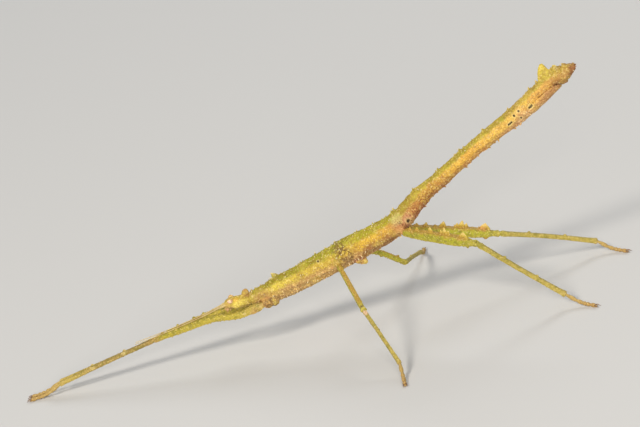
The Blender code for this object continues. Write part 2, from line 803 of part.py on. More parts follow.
def feeler(side, parts, root):
    """One feeler: a bar along a smooth route that thins out towards its tip."""
    sign = SIDES[side]
    start, end = (mirrored(point, sign) for point in FEELER_SOCKET)
    first = end + (end - start).normalized() * GAP
    line = through([first, *(mirrored(point, sign) for point in FEELER_ROUTE)], FEELER_POINTS)
    curve = bpy.data.curves.new(f"antenna_{side}", "CURVE")
    curve.dimensions = "3D"
    curve.bevel_depth = FEELER_RADIUS * MM
    curve.bevel_resolution = 2
    curve.use_fill_caps = True
    path = curve.splines.new("POLY")
    path.points.add(len(line) - 1)
    for index, (point, _) in enumerate(line):
        path.points[index].co = (*((point - first) * MM), 1.0)
        thin = max(0.0, index / FEELER_POINTS * 2 - 1)
        path.points[index].radius = 1 - (1 - FEELER_TIP) * thin
    obj = bpy.data.objects.new(f"antenna_{side}", curve)
    obj.data.materials.append(material("feeler"))
    obj.location = first * MM
    obj.parent = root
    parts.objects.link(obj)


def build_head_pieces(parts, root):
    for side, sign in SIDES.items():
        centre = mirrored(EYE_PLACE, sign)
        eye = ball(centre, (EYE_RADIUS,) * 3)
        place(eye, f"eye_{side}", centre, "eye", parts, root)
        feeler(side, parts, root)


def main():
    clear_scene()
    random.seed(SEED)
    parts = bpy.data.collections.new(NAME)
    bpy.context.scene.collection.children.link(parts)
    root = bpy.data.objects.new(NAME + "_root", None)
    root.location = -BOX_MIDDLE * MM
    parts.objects.link(root)
    build_body(parts, root)
    build_head_pieces(parts, root)
    for leg, side in POSE:
        build_leg(leg, side, parts, root)


main()
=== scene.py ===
# A life-size stick insect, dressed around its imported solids.
# Pieces are shaped in millimetres on the insect's own middle plane, y = 0, then set in place.
import math
import random

import bpy
import numpy as np
from mathutils import Matrix, Vector, noise


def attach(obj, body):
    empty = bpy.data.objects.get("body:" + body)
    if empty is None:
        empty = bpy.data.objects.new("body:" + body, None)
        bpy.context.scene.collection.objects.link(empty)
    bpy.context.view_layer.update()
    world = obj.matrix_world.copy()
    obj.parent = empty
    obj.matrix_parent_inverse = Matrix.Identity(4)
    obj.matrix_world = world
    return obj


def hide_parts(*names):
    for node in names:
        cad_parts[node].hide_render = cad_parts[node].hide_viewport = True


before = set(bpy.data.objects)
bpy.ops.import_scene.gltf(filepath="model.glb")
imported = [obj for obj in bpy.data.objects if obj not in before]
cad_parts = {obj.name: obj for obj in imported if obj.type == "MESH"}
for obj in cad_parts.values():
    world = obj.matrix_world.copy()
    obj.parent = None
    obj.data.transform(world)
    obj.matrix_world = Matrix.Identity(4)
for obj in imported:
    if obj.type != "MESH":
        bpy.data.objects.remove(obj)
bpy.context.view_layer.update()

# Table top and light
# The insect stands on a plain pale table top, below one large soft lamp on its left, a
# second lamp in front and a weak one behind, in an evenly lit pale room.

MM = 0.001
# The point of the insect's own plane, in millimetres, that comes to stand over the origin.
MIDDLE = Vector((-5.451, -1.529, 0.0))
TABLE_SIZE = 3.0
TABLE_COLOUR = (0.60, 0.59, 0.57, 1.0)
TABLE_ROUGHNESS = 0.85
ROOM_COLOUR = (0.88, 0.90, 0.94, 1.0)
ROOM_LIGHT = 0.32
# Each lamp: place and width in millimetres, power and colour.
LAMPS = {
    "lamp_left": ((-480, -640, 820), 260, 7.8, (1.0, 0.95, 0.87)),
    "lamp_front": ((300, -1050, 460), 420, 8.6, (1.0, 0.97, 0.93)),
    "lamp_back": ((320, 820, 640), 400, 4.0, (0.92, 0.96, 1.0)),
}
LAMP_AIM = Vector((0.0, 0.0, 0.015))
bpy.context.scene.view_settings.view_transform = "Standard"


def add_to_scene(name, data):
    thing = bpy.data.objects.new(name, data)
    bpy.context.scene.collection.objects.link(thing)
    return thing


table_mesh = bpy.data.meshes.new("table_top")
half = TABLE_SIZE / 2
table_mesh.from_pydata([(-half, -half, 0), (half, -half, 0), (half, half, 0), (-half, half, 0)],
                       [], [(0, 1, 2, 3)])
table = add_to_scene("table_top", table_mesh)
table_paint = bpy.data.materials.new("table_top")
table_paint.use_nodes = True
table_shader = table_paint.node_tree.nodes["Principled BSDF"]
table_shader.inputs["Base Color"].default_value = TABLE_COLOUR
table_shader.inputs["Roughness"].default_value = TABLE_ROUGHNESS
table_mesh.materials.append(table_paint)

for name, (place, width, power, colour) in LAMPS.items():
    light = bpy.data.lights.new(name, "AREA")
    light.size = width * MM
    light.energy = power
    light.color = colour
    lamp = add_to_scene(name, light)
    lamp.location = Vector(place) * MM
    lamp.rotation_euler = (LAMP_AIM - lamp.location).to_track_quat("-Z", "Y").to_euler()

room = bpy.data.worlds.new("room")
bpy.context.scene.world = room
room.use_nodes = True
room_light = room.node_tree.nodes["Background"]
room_light.inputs["Color"].default_value = ROOM_COLOUR
room_light.inputs["Strength"].default_value = ROOM_LIGHT

# Camera
# The photograph looks at the insect's left side from a little in front of it and from
# above, tilted so that the body climbs steeply across the frame.

CAMERA_TURN = 11.0
CAMERA_HEIGHT = 21.0
CAMERA_TILT = 17.5
CAMERA_DISTANCE = 450.0
CAMERA_AIM = Vector((0.0, 0.0, 21.2))
CAMERA_LENS = 151.875
SENSOR_WIDTH = 36.0
NEAREST_SEEN = 0.01

turn = math.radians(CAMERA_TURN)
height = math.radians(CAMERA_HEIGHT)
tilt = math.radians(CAMERA_TILT)
ahead = Vector((-math.sin(turn) * math.cos(height), math.cos(turn) * math.cos(height),
                -math.sin(height)))
right = Vector((math.cos(turn), math.sin(turn), 0.0))
above = right.cross(ahead)
tilted_right = right * math.cos(tilt) - above * math.sin(tilt)
tilted_above = right * math.sin(tilt) + above * math.cos(tilt)
camera = bpy.data.cameras.new("camera")
camera.lens = CAMERA_LENS
camera.sensor_width = SENSOR_WIDTH
camera.clip_start = NEAREST_SEEN
viewer = add_to_scene("camera", camera)
viewer.matrix_world = Matrix((
    (tilted_right.x, tilted_above.x, -ahead.x, 0),
    (tilted_right.y, tilted_above.y, -ahead.y, 0),
    (tilted_right.z, tilted_above.z, -ahead.z, 0),
    (0, 0, 0, 1)))
viewer.location = (CAMERA_AIM - MIDDLE - ahead * CAMERA_DISTANCE) * MM
bpy.context.scene.camera = viewer

# Line of the body
# Head, thorax and abdomen are rings of hard skin that follow one line, bent upwards behind
# the hind legs. They are joined by narrow soft folds, and each has its own size and rise.

BODY_FRONT = (-20.4, 9.15)
# Each length, from the mouth to the tail: how long it is, its rise in degrees, and half its
# width at its front, middle and rear.
BODY = {
    "head": (4.5, -0.5, 1.0, 1.02, 0.97),
    "prothorax": (4.0, 11.5, 1.12, 1.3, 1.3),
    "mesothorax": (14.9, 13.8, 1.55, 1.88, 2.26),
    "metathorax": (11.0, 16.3, 2.3, 2.13, 1.9),
    "abdomen_2": (6.05, 38.8, 1.76, 1.5, 1.58),
    "abdomen_3": (5.0, 29.6, 1.5, 1.46, 1.54),
    "abdomen_4": (5.0, 29.2, 1.46, 1.42, 1.52),
    "abdomen_5": (5.2, 27.5, 1.44, 1.44, 1.56),
    "abdomen_6": (5.5, 25.6, 1.5, 1.55, 1.66),
    "abdomen_7": (5.05, 32.9, 1.64, 1.6, 1.55),
    "abdomen_8": (4.1, 29.0, 1.5, 1.46, 1.32),
    "abdomen_9": (1.5, 17.0, 1.42, 1.5, 1.38),
    "abdomen_10": (2.1, 15.4, 1.3, 1.08, 0.66),
}
# Share of the new direction that the line already has at the front of a length; 0.5 if not given.
BEND_SHARE = {"abdomen_2": 0.25}
# How far a length reaches below and above the line, against half its width, at shares of its
# length; 1 all along if not given.
BELLY = {
    "prothorax": ((0.0, 1.0), (1.0, 1.3)),
    "mesothorax": ((0.0, 1.56), (0.25, 1.53), (0.5, 1.37), (0.75, 1.2), (1.0, 1.1)),
    "metathorax": ((0.0, 1.06), (1.0, 0.93)),
    "abdomen_2": ((0.0, 0.8), (1.0, 1.0)),
    "abdomen_7": ((0.0, 1.06), (0.4, 1.2), (0.43, 0.72), (1.0, 0.72)),
    "abdomen_8": ((0.0, 0.74), (0.8, 0.76), (1.0, 0.95)),
    "abdomen_9": ((0.0, 1.22), (1.0, 1.24)),
    "abdomen_10": ((0.0, 1.24), (1.0, 0.75)),
}
BACK = {
    "metathorax": ((0.0, 1.0), (0.8, 1.0), (1.0, 1.2)),
    "abdomen_2": ((0.0, 1.25), (0.2, 1.42), (0.4, 1.58), (0.6, 1.48), (0.8, 1.34), (1.0, 1.2)),
    "abdomen_3": ((0.0, 1.2), (0.5, 1.0), (1.0, 1.0)),
}
LINE_STEP = 0.12
NEAREST_BATCH = 4000
# How far the skin lies inside the solids, sideways, above and below, and how much more on
# the abdomen, where the grains stand out most. The rest of it comes in over a short stretch.
SKIN_INSET = np.array((0.05, 0.05, 0.05))
ABDOMEN_INSET = np.array((0.04, 0.15, 0.07))
INSET_STRETCH = 3.0
# Over how many points of the line the sizes are evened out.
JOINT_ROUND = 5


def unit(ways):
    """One direction or a list of them, made 1 long."""
    ways = np.asarray(ways, float)
    return ways / (np.linalg.norm(ways) if ways.ndim == 1 else np.linalg.norm(ways, axis=1)[:, None])


def level_across(ways):
    """The level direction to the right of one direction or of a list of them."""
    return unit(np.cross(ways, (0.0, 0.0, 1.0)))


def heading(azimuth, rise):
    """A direction by its angle seen from above and its rise, in degrees."""
    azimuth, rise = math.radians(azimuth), math.radians(rise)
    return np.array((math.cos(rise) * math.cos(azimuth), math.cos(rise) * math.sin(azimuth), math.sin(rise)))


def swell(front, middle, rear, t):
    """The value at t of a thickness that is known at both ends and in the middle."""
    return front * (1 - t) * (1 - 2 * t) + 4 * middle * t * (1 - t) + rear * t * (2 * t - 1)


def curve(start, end, start_way, end_way, t):
    """Points and directions on the smooth curve that leaves start and arrives at end."""
    t = np.asarray(t)[:, None]
    span = np.linalg.norm(end - start)
    leave = start_way * span
    arrive = end_way * span
    points = (start * (2 * t**3 - 3 * t**2 + 1) + leave * (t**3 - 2 * t**2 + t)
              + end * (3 * t**2 - 2 * t**3) + arrive * (t**3 - t**2))
    ways = (start * (6 * t**2 - 6 * t) + leave * (3 * t**2 - 4 * t + 1)
            + end * (6 * t - 6 * t**2) + arrive * (3 * t**2 - 2 * t))
    return points, unit(ways)


class Line:
    """A line through the insect with its length so far and sizes at every point of it."""

    def __init__(self, points, ways, sizes):
        self.points = points
        self.ways = ways
        self.sizes = sizes
        steps = np.linalg.norm(np.diff(points, axis=0), axis=1)
        self.along = np.concatenate([[0.0], np.cumsum(steps)])
        self.across = level_across(ways)
        self.up = np.cross(self.across, ways)

    def nearest(self, places):
        """The index of the line's nearest point to each of many places."""
        found = np.empty(len(places), int)
        for first in range(0, len(places), NEAREST_BATCH):
            part = places[first:first + NEAREST_BATCH]
            gaps = ((part[:, None] - self.points[None]) ** 2).sum(2)
            found[first:first + NEAREST_BATCH] = gaps.argmin(1)
        return found

    def read(self, places):
        """Length along the line, distance sideways and upwards of it, and its nearest point."""
        index = self.nearest(places)
        offset = places - self.points[index]
        along = self.along[index] + (offset * self.ways[index]).sum(1)
        sideways = (offset * self.across[index]).sum(1)
        upwards = (offset * self.up[index]).sum(1)
        return along, sideways, upwards, index


points = [np.array((BODY_FRONT[0], 0.0, BODY_FRONT[1]))]
ways = []
for length, rise, *_ in BODY.values():
    way = heading(0.0, rise)
    points.append(points[-1] + way * length)
    ways.append(way)
bends = [ways[0]]
for name, before, after in zip(list(BODY)[1:], ways, ways[1:]):
    share = BEND_SHARE.get(name, 0.5)
    bends.append(unit(before * (1 - share) + after * share))
bends.append(ways[-1])

parts = []
joints = {}
reached = 0.0
for index, (name, (length, rise, front, middle, rear)) in enumerate(BODY.items()):
    shares = np.linspace(0.0, 1.0, round(length / LINE_STEP), endpoint=name == "abdomen_10")
    place, way = curve(points[index], points[index + 1], bends[index], bends[index + 1], shares)
    half = swell(front, middle, rear, shares)
    belly = np.interp(shares, *zip(*BELLY.get(name, ((0.0, 1.0),))))
    back = np.interp(shares, *zip(*BACK.get(name, ((0.0, 1.0),))))
    parts.append((place, way, np.stack([half, half * back, half * belly], 1)))
    joints[name] = reached
    reached += length
body = Line(*(np.concatenate([part[i] for part in parts]) for i in range(3)))
# The lengths measured along the smooth line are a little longer than the straight ones.
stretch = body.along[-1] / reached
joints = {name: place * stretch for name, place in joints.items()}
on_abdomen = np.clip((body.along - joints["abdomen_2"]) / INSET_STRETCH, 0, 1)[:, None]
padded = np.pad(body.sizes, ((JOINT_ROUND // 2, JOINT_ROUND // 2), (0, 0)), "edge")
body.sizes = np.mean([padded[k:k + len(body.sizes)] for k in range(JOINT_ROUND)], 0)
body.sizes = body.sizes - SKIN_INSET - on_abdomen * ABDOMEN_INSET

# Skin of the body
# One hard, grainy outer shell of horn-like matter from the mouth to the tail, with its hip
# joints, horns, lobes and leaf-like crest. All overlap and are grown together as one even
# skin; ridges, folds, pits and pale grains are then raised on it.

BODY_AROUND = 96
BODY_VOXEL = 0.122
HEAD_VOXEL = 0.06
# Head, from 0 at the mouth to 1 at the neck: half width, height, depth.
HEAD_STATIONS = (
    (0.0, 0.5, 0.46, 0.56),
    (0.06, 0.74, 0.72, 0.78),
    (0.14, 0.88, 0.9, 0.9),
    (0.3, 0.98, 1.02, 1.06),
    (0.5, 1.04, 1.04, 1.16),
    (0.72, 1.1, 1.03, 1.2),
    (0.88, 1.08, 1.0, 1.18),
    (0.96, 0.98, 0.94, 1.05),
    (1.0, 0.8, 0.8, 0.8),
)
# Ridges: angle up from the side and width in degrees, height, and from and to along the body.
RIDGES = (
    (90.0, 9.0, 0.10, 5.0, 64.0),
    (-24.0, 7.0, 0.12, 8.8, 34.0),
    (-58.0, 6.0, 0.08, 9.0, 64.0),
    (32.0, 8.0, 0.06, 9.0, 33.0),
)
# Fold along each side of the abdomen: angle, width, depth, and from and to along the body.
SIDE_FOLD = (-26.0, 6.0, 0.10, 34.0, 63.0)
# Rear edge of each length: height, how far it lies ahead of the joint and width, then depth
# and width of the groove behind it. The stiff thorax has only a share of all this.
RIM = (0.066, 0.29, 0.2, 0.10, 0.14)
STIFF_SHARE = 0.7
# Size and height of lumps, of knobs between them, of wrinkles and of coarse grains.
LUMPS = (1.7, 0.10)
KNOBS = (0.62, 0.09)
WRINKLES = (0.9, 0.06)
GRAIN = (0.4, 0.075)
# Round scars behind the middle hips and on the front hips: place, radius, height of the
# rings and their spacing.
SCARS = (((2.47, 2.08, 13.61), 1.25, 0.06, 0.52), ((-11.7, 1.4, 8.35), 0.85, 0.06, 0.42))
# Dark warty patches round both scars and above the larger one: place and radius.
WARTY = (((2.3, 1.9, 13.7), 1.9), ((1.4, 1.4, 15.0), 1.6), ((-12.6, 1.6, 8.0), 1.5))
# Size and height of the warts.
WARTS = (0.62, 0.16)
# Breathing holes and pits: place, radius and depth.
PITS = [
    ((14.2, 1.55, 16.8), 0.4, 0.24),
    ((-2.5, 1.46, 13.47), 0.24, 0.14),
    ((36.7, 1.5, 31.05), 0.26, 0.12),
    ((35.8, 1.42, 30.45), 0.26, 0.12),
    ((36.8, 1.42, 29.8), 0.23, 0.12),
]
# Slits of the abdomen, each a row of three pits along the body: middles, how far apart the
# pits are rearwards and upwards, and their radius and depth.
SLITS = ((34.85, 1.5, 29.28), (38.81, 1.42, 31.27))
SLIT_STEP = (0.88 * 0.28, 0.47 * 0.28)
SLIT_PIT = (0.25, 0.16)
for slit_x, slit_y, slit_z in SLITS:
    for step in (-1, 0, 1):
        PITS.append(((slit_x + step * SLIT_STEP[0], slit_y, slit_z + step * SLIT_STEP[1]), *SLIT_PIT))


def wrap(rings, ends=None, turned=False):
    """A closed skin over rings of points, with one point at either end."""
    count, around = rings.shape[:2]
    ends = (rings[0].mean(0), rings[-1].mean(0)) if ends is None else ends
    pairs = [(k, (k + 1) % around) for k in range(around)]
    last = (count - 1) * around
    faces = [(i + a, i + around + a, i + around + b, i + b) for i in range(0, last, around) for a, b in pairs]
    faces += [(last + around, a, b) for a, b in pairs]
    faces += [(last + around + 1, last + b, last + a) for a, b in pairs]
    if turned:
        faces = [face[:1] + face[:0:-1] for face in faces]
    return np.concatenate([rings.reshape(-1, 3), ends]), faces


def tube(points, ways, outline):
    """A closed tube; outline gives each ring's points, sideways and upwards of the line."""
    across = level_across(ways)
    up = np.cross(across, ways)
    return wrap(points[:, None] + across[:, None] * outline[..., :1] + up[:, None] * outline[..., 1:])


def oval(half_width, height, depth, around):
    """Rings of oval outlines, for a tube whose sizes are given at each of its points."""
    angle = 2 * np.pi * np.arange(around) / around
    half_width, height, depth = (np.asarray(v, float)[:, None] for v in (half_width, height, depth))
    upwards = np.sin(angle)[None] * np.where(np.sin(angle)[None] > 0, height, depth)
    return np.stack([half_width * np.cos(angle)[None], upwards], 2)


def spike(root, outward, along, height, length, thickness, lean=0.0, sunk=0.5, blunt=0.0, steps=7,
          around=12, curl=1.6):
    """A tapered spine, horn or lobe: its root is sunk in the skin and its tip leans over."""
    root, outward, along = (np.array(v, float) for v in (root, outward, along))
    outward = unit(outward)
    across = unit(np.cross(outward, along))
    along = np.cross(across, outward)
    share = np.linspace(0.0, 1.0, steps)
    level = np.concatenate([[-sunk], share * height])
    width = np.concatenate([[1.0], (1 - share) ** 0.8 * (1 - blunt) + blunt * np.sqrt(1 - share**4)])
    shift = np.concatenate([[0.0], share**curl * lean])
    angle = 2 * np.pi * np.arange(around) / around
    rings = (root + outward * level[:, None, None] + along * shift[:, None, None]
             + along * (width[:, None, None] * length / 2 * np.cos(angle)[None, :, None])
             + across * (width[:, None, None] * thickness / 2 * np.sin(angle)[None, :, None]))
    return wrap(rings, turned=True)


def ball(centre, radii, segments=20, rings=12):
    """A closed ball or egg."""
    polar = np.pi * np.arange(1, rings) / rings
    angle = 2 * np.pi * np.arange(segments) / segments
    shell = np.stack([np.sin(polar)[:, None] * np.cos(angle)[None],
                      np.sin(polar)[:, None] * np.sin(angle)[None],
                      np.repeat(np.cos(polar)[:, None], segments, 1)], 2)
    verts, faces = wrap(shell, ((0, 0, 1.0), (0, 0, -1.0)))
    return verts * np.array(radii) + np.array(centre), faces


def join(shapes):
    """One list of points and faces from many."""
    verts, faces, offset = [], [], 0
    for shape_verts, shape_faces in shapes:
        verts.append(np.asarray(shape_verts))
        faces += [tuple(v + offset for v in face) for face in shape_faces]
        offset += len(shape_verts)
    return np.concatenate(verts), faces


def fuse(shapes, voxel, smoothing):
    """Grows one even skin over overlapping shapes and gives its points and faces."""
    verts, faces = join(shapes)
    mesh = bpy.data.meshes.new("fused")
    mesh.from_pydata(verts, [], faces)
    thing = add_to_scene("fused", mesh)
    remesh = thing.modifiers.new("skin", "REMESH")
    remesh.mode = "VOXEL"
    remesh.voxel_size = voxel
    if smoothing:
        smooth = thing.modifiers.new("smooth", "SMOOTH")
        smooth.factor = 0.5
        smooth.iterations = smoothing
    skin = bpy.data.meshes.new_from_object(thing.evaluated_get(bpy.context.evaluated_depsgraph_get()))
    bpy.data.objects.remove(thing)
    points = np.empty(len(skin.vertices) * 3, np.float32)
    normals = np.empty(len(skin.vertices) * 3, np.float32)
    skin.vertices.foreach_get("co", points)
    skin.vertices.foreach_get("normal", normals)
    corners = np.empty(len(skin.loops), np.int32)
    skin.loops.foreach_get("vertex_index", corners)
    counts = np.empty(len(skin.polygons), np.int32)
    skin.polygons.foreach_get("loop_total", counts)
    bpy.data.meshes.remove(skin)
    assert (counts == 4).all()
    return (points.reshape(-1, 3).astype(float), normals.reshape(-1, 3).astype(float),
            corners.reshape(-1, 4))


def dent(gap, width):
    """1 at the middle of a bump or dent and 0 well away from it."""
    return np.exp(-(gap / width) ** 2)


def bumps(share, rows):
    """Bumps and dents at shares of a limb, each given by its place, width and height."""
    return sum(tall * dent(share - place, wide) for place, wide, tall in rows)


def step_up(value, low, high):
    """0 below low, 1 above high, and a smooth rise between them."""
    share = np.clip((value - low) / (high - low), 0, 1)
    return share * share * (3 - 2 * share)


def noises(places, scale, seed):
    """Smooth noise from about -1 to 1 at many places."""
    shift = Vector((seed * 17.3, seed * 5.1, seed * 9.7))
    return np.array([noise.noise(Vector(p) / scale + shift) for p in places])


def grains(places, scale, seed):
    """Rounded grains: 1 at the middle of each cell of the pattern, 0 at its edge."""
    shift = Vector((seed * 3.7, seed * 11.9, seed * 7.3))
    return np.array([1 - min(1.0, noise.voronoi(Vector(p) / scale + shift)[0][0] * 1.25)
                     for p in places])


def on_body(along, angle):
    """The surface point of the body at a length and an angle up from its right side."""
    index = int(np.searchsorted(body.along, along).clip(0, len(body.along) - 1))
    half_width, height, depth = body.sizes[index]
    side = -body.across[index] * math.cos(math.radians(angle))
    rise = body.up[index] * math.sin(math.radians(angle))
    reach = height if math.sin(math.radians(angle)) > 0 else depth
    return (body.points[index] + side * half_width + rise * reach,
            side + rise, body.ways[index])


def length_at(name, share):
    """How far along the body a share of one of its lengths is."""
    return joints[name] + share * BODY[name][0] * stretch


# Trunk: it starts inside the head with a narrow neck, and ends in the hollow at the tip of
# the tail, given by places past the tip and shares of its size.
NECK_INSIDE = 0.5
NECK_SHARE = 0.74
NECK_STRETCH = 0.9
TAIL_HOLLOW = ((0.0, 0.86), (-0.1, 0.66), (-0.38, 0.5), (-0.5, 0.2))
trunk_from = joints["prothorax"] - NECK_INSIDE
chosen = body.along > trunk_from
neck = NECK_SHARE + (1 - NECK_SHARE) * step_up(body.along[chosen], trunk_from, trunk_from + NECK_STRETCH)
trunk_points = [body.points[chosen]]
trunk_ways = [body.ways[chosen]]
trunk_sizes = [body.sizes[chosen] * neck[:, None]]
for ahead_by, share in TAIL_HOLLOW:
    trunk_points.append((body.points[-1] + body.ways[-1] * ahead_by)[None])
    trunk_ways.append(body.ways[-1][None])
    trunk_sizes.append(body.sizes[-1][None] * share)
body_shapes = [tube(np.concatenate(trunk_points), np.concatenate(trunk_ways),
                    oval(*np.concatenate(trunk_sizes).T, BODY_AROUND))]

# Hip joints: the place where each leg leaves its hip, the direction of the hip and its half
# thickness where it leaves the body and at the leg.
HIPS = {
    "fore": ((-13.6, 1.45, 8.1), (-0.86, 0.32, -0.22), (1.0, 0.56)),
    "mid": ((0.8, 2.4, 12.45), (0.25, 0.85, -0.45), (0.8, 0.56)),
    "hind": ((12.95, 1.85, 14.7), (0.62, 0.6, -0.5), (0.8, 0.56)),
}
# How far a hip joint is held above its mean height.
HIP_LIFT = {("hind", "left"): 0.5, ("hind", "right"): -0.5}
HIP_LENGTH = 1.9
# Where the rings of a hip joint lie, from inside the body, past the leg at 1, to its cap.
HIP_SHARES = np.array((-0.36, -0.33, -0.26, -0.15, 0, 0.15, 0.3, 0.45, 0.58, 0.68, 0.76, 0.84, 0.92,
                       1.0, 1.07, 1.12))
# The slight groove and the slight rim that end a hip joint: place, width and height.
HIP_BUMPS = ((0.7, 0.07, -0.06), (0.9, 0.08, 0.06))
SIDES = {"left": -1.0, "right": 1.0}


def mirrored(place, sign):
    """A place of the right side, or the same one on the left where sign is -1."""
    return np.array((place[0], place[1] * sign, place[2]))


def hip_place(leg, side):
    """Where a leg leaves its hip joint."""
    x, y, z = HIPS[leg][0]
    return np.array((x, y * SIDES[side], z + HIP_LIFT.get((leg, side), 0.0)))


hip_lines = []
for leg, (_, way, (thick, thin)) in HIPS.items():
    for side, sign in SIDES.items():
        direction = unit(mirrored(way, sign))
        end = hip_place(leg, side)
        share = HIP_SHARES
        girth = thick + (thin - thick) * share + bumps(share, HIP_BUMPS)
        # Both ends of the joint are rounded.
        girth *= np.sqrt(np.clip(1 - (np.minimum(share, 0) / 0.37) ** 2, 0.01, 1))
        girth *= np.sqrt(np.clip(1 - (np.clip(share - 0.92, 0, 1) / 0.21) ** 2, 0.05, 1))
        spots = end - direction * (HIP_LENGTH * (1 - share) - 0.1)[:, None]
        body_shapes.append(tube(spots, np.repeat(direction[None], len(share), 0),
                                oval(girth, girth, girth, 24)))
        hip_lines.append((end, direction))

# Paired spines and lobes: place along the body, angle up from the side, height, length,
# thickness, lean rearwards and how blunt the tip is.
BODY_SPINES = (
    (length_at("metathorax", 0.13), -62, 1.1, 2.1, 1.1, 0.7, 0.45),
    (length_at("abdomen_10", 0.2), 74, 0.42, 0.8, 0.5, -0.1, 0.3),
)
for along, angle, *form in BODY_SPINES:
    for side_angle in (angle, 180 - angle):
        root, outward, way = on_body(along, side_angle)
        body_shapes.append(spike(root, outward, way, *form[:4], blunt=form[4], sunk=0.6))
ABDOMEN = [name for name in BODY if name.startswith("abdomen")]
# Crest, then the low knob behind it: share of the eighth length, height, length, thickness,
# lean and how blunt the tip is.
CREST = ((0.67, 2.12, 2.75, 0.62, 0.9, 0.3), (0.98, 0.6, 1.2, 0.5, 0.4, 0.3))
for share, tall, base, thickness, lean, blunt in CREST:
    root, outward, way = on_body(length_at("abdomen_8", share), 90)
    body_shapes.append(spike(root, outward, way, tall, base, thickness, lean, 0.7, blunt, 10, 20, 1.3))
# Cerci, the two short feelers of the tail, by height and thickness, and the plate above them
CERCUS = (0.6, 0.36)
tail_end, tail_way = body.points[-1], body.ways[-1]
for sign in SIDES.values():
    body_shapes.append(spike(tail_end - tail_way * 0.25 + (0, sign * 0.42, 0.05),
                             tail_way + (0, sign * 0.15, 0), (0, 0, 1),
                             CERCUS[0], CERCUS[1], CERCUS[1], blunt=0.4))
body_shapes.append(spike(tail_end - tail_way * 0.3 + (0, 0, 0.5), tail_way, (0, 1, 0),
                         0.42, 0.8, 0.3, blunt=0.4))
# Knobs: place and half sizes, on both sides alike.
BODY_KNOBS = (
    ((44.0, 0.62, 36.2), (0.42, 0.42, 0.4)),
    ((44.9, 0.95, 35.3), (0.35, 0.35, 0.3)),
    ((45.4, 1.15, 34.6), (0.3, 0.3, 0.34)),
    ((-11.8, 0.95, 8.05), (0.9, 0.65, 0.85)),
    ((-12.9, 1.05, 7.85), (0.85, 0.6, 0.75)),
    ((0.75, 1.75, 13.9), (0.65, 0.5, 0.9)),
    ((0.8, 2.1, 13.0), (0.6, 0.55, 0.7)),
    ((4.1, 1.55, 12.0), (0.62, 0.5, 0.5)),
    ((5.1, 1.5, 11.75), (0.34, 0.34, 0.34)),
    ((14.0, 1.7, 15.3), (0.55, 0.42, 0.42)),
    ((-12.4, 1.15, 9.3), (0.5, 0.4, 0.4)),
    ((0.9, 1.55, 14.6), (0.6, 0.45, 0.35)),
    ((37.9, 0.95, 29.9), (0.4, 0.4, 0.3)),
)
for centre, radii in BODY_KNOBS:
    for sign in SIDES.values():
        body_shapes.append(ball(mirrored(centre, sign), radii, 14, 8))
body_places, body_outward, body_faces = fuse(body_shapes, BODY_VOXEL, 1)

# Head: tube, the pair of horns, cheeks, rims of the feeler joints and face plate. The horn is
# given by its share of the head, angle, height, length, thickness, lean and how blunt it is.
HORN = (0.85, 66, 0.98, 1.45, 0.75, 0.12, 0.62)
# Where a feeler's root lies in the head and where it leaves it, and the middle of an eye.
FEELER_JOINT = ((-19.6, 0.4, 9.2), (-20.85, 0.44, 9.05))
# Half thickness of the root, and its rim as for a hip joint.
FEELER_ROOT = 0.36
FEELER_BUMPS = ((0.62, 0.12, 0.05),)
EYE = (-19.2, 0.8, 9.84)
# Cheek and root of the feeler: place and half sizes, on both sides alike.
FACE_LUMPS = (
    ((-18.3, 0.74, 8.75), (0.75, 0.42, 0.52)),
    ((-20.05, 0.5, 9.4), (0.3, 0.3, 0.26)),
)
FACE_PLATE = ((-20.2, 0.0, 8.75), (0.42, 0.55, 0.5))
# Size and height of lumps and of grains; the rim of an eye by distance from its middle, width
# and height; and its socket by where it begins and ends, and depth.
HEAD_LUMPS = (0.8, 0.035)
HEAD_GRAIN = (0.26, 0.028)
EYE_RIM = (0.56, 0.08, 0.09)
EYE_SOCKET = (0.4, 0.5, 0.2)
# Widths and depths of the seam along the crown and of the grooves across neck and face, and
# angle, width and height of the ridges beside the crown.
CROWN_SEAM = (0.05, 0.05)
NECK_GROOVE = (0.06, 0.05)
FACE_GROOVE = (0.07, 0.06)
CROWN_RIDGE = (38, 7, 0.05)
head_way = heading(0.0, BODY["head"][1])
shares, *head_sizes = (np.array(column) for column in zip(*HEAD_STATIONS))
fine = np.linspace(0, 1, 46)
head_sizes = [np.interp(fine, shares, size) - inset for size, inset in zip(head_sizes, SKIN_INSET)]
head_points = body.points[0] + head_way * (fine * BODY["head"][0])[:, None]
head_shapes = [tube(head_points, np.repeat(head_way[None], len(fine), 0), oval(*head_sizes, 64))]
share, angle, *form = HORN
for side_angle in (angle, 180 - angle):
    root, outward, way = on_body(share * BODY["head"][0], side_angle)
    head_shapes.append(spike(root, outward, way, *form[:4], blunt=form[4], steps=9, around=18))
for sign in SIDES.values():
    start, end = (mirrored(place, sign) for place in FEELER_JOINT)
    share = np.linspace(0, 1, 8)
    girth = FEELER_ROOT + bumps(share, FEELER_BUMPS)
    way = unit(end - start)
    spots = start + way * (share * 0.72)[:, None]
    head_shapes.append(tube(spots, np.repeat(way[None], 8, 0), oval(girth, girth, girth, 20)))
    for centre, radii in FACE_LUMPS:
        head_shapes.append(ball(mirrored(centre, sign), radii))
head_shapes.append(ball(*FACE_PLATE))
head_places, head_outward, head_faces = fuse(head_shapes, HEAD_VOXEL, 2)


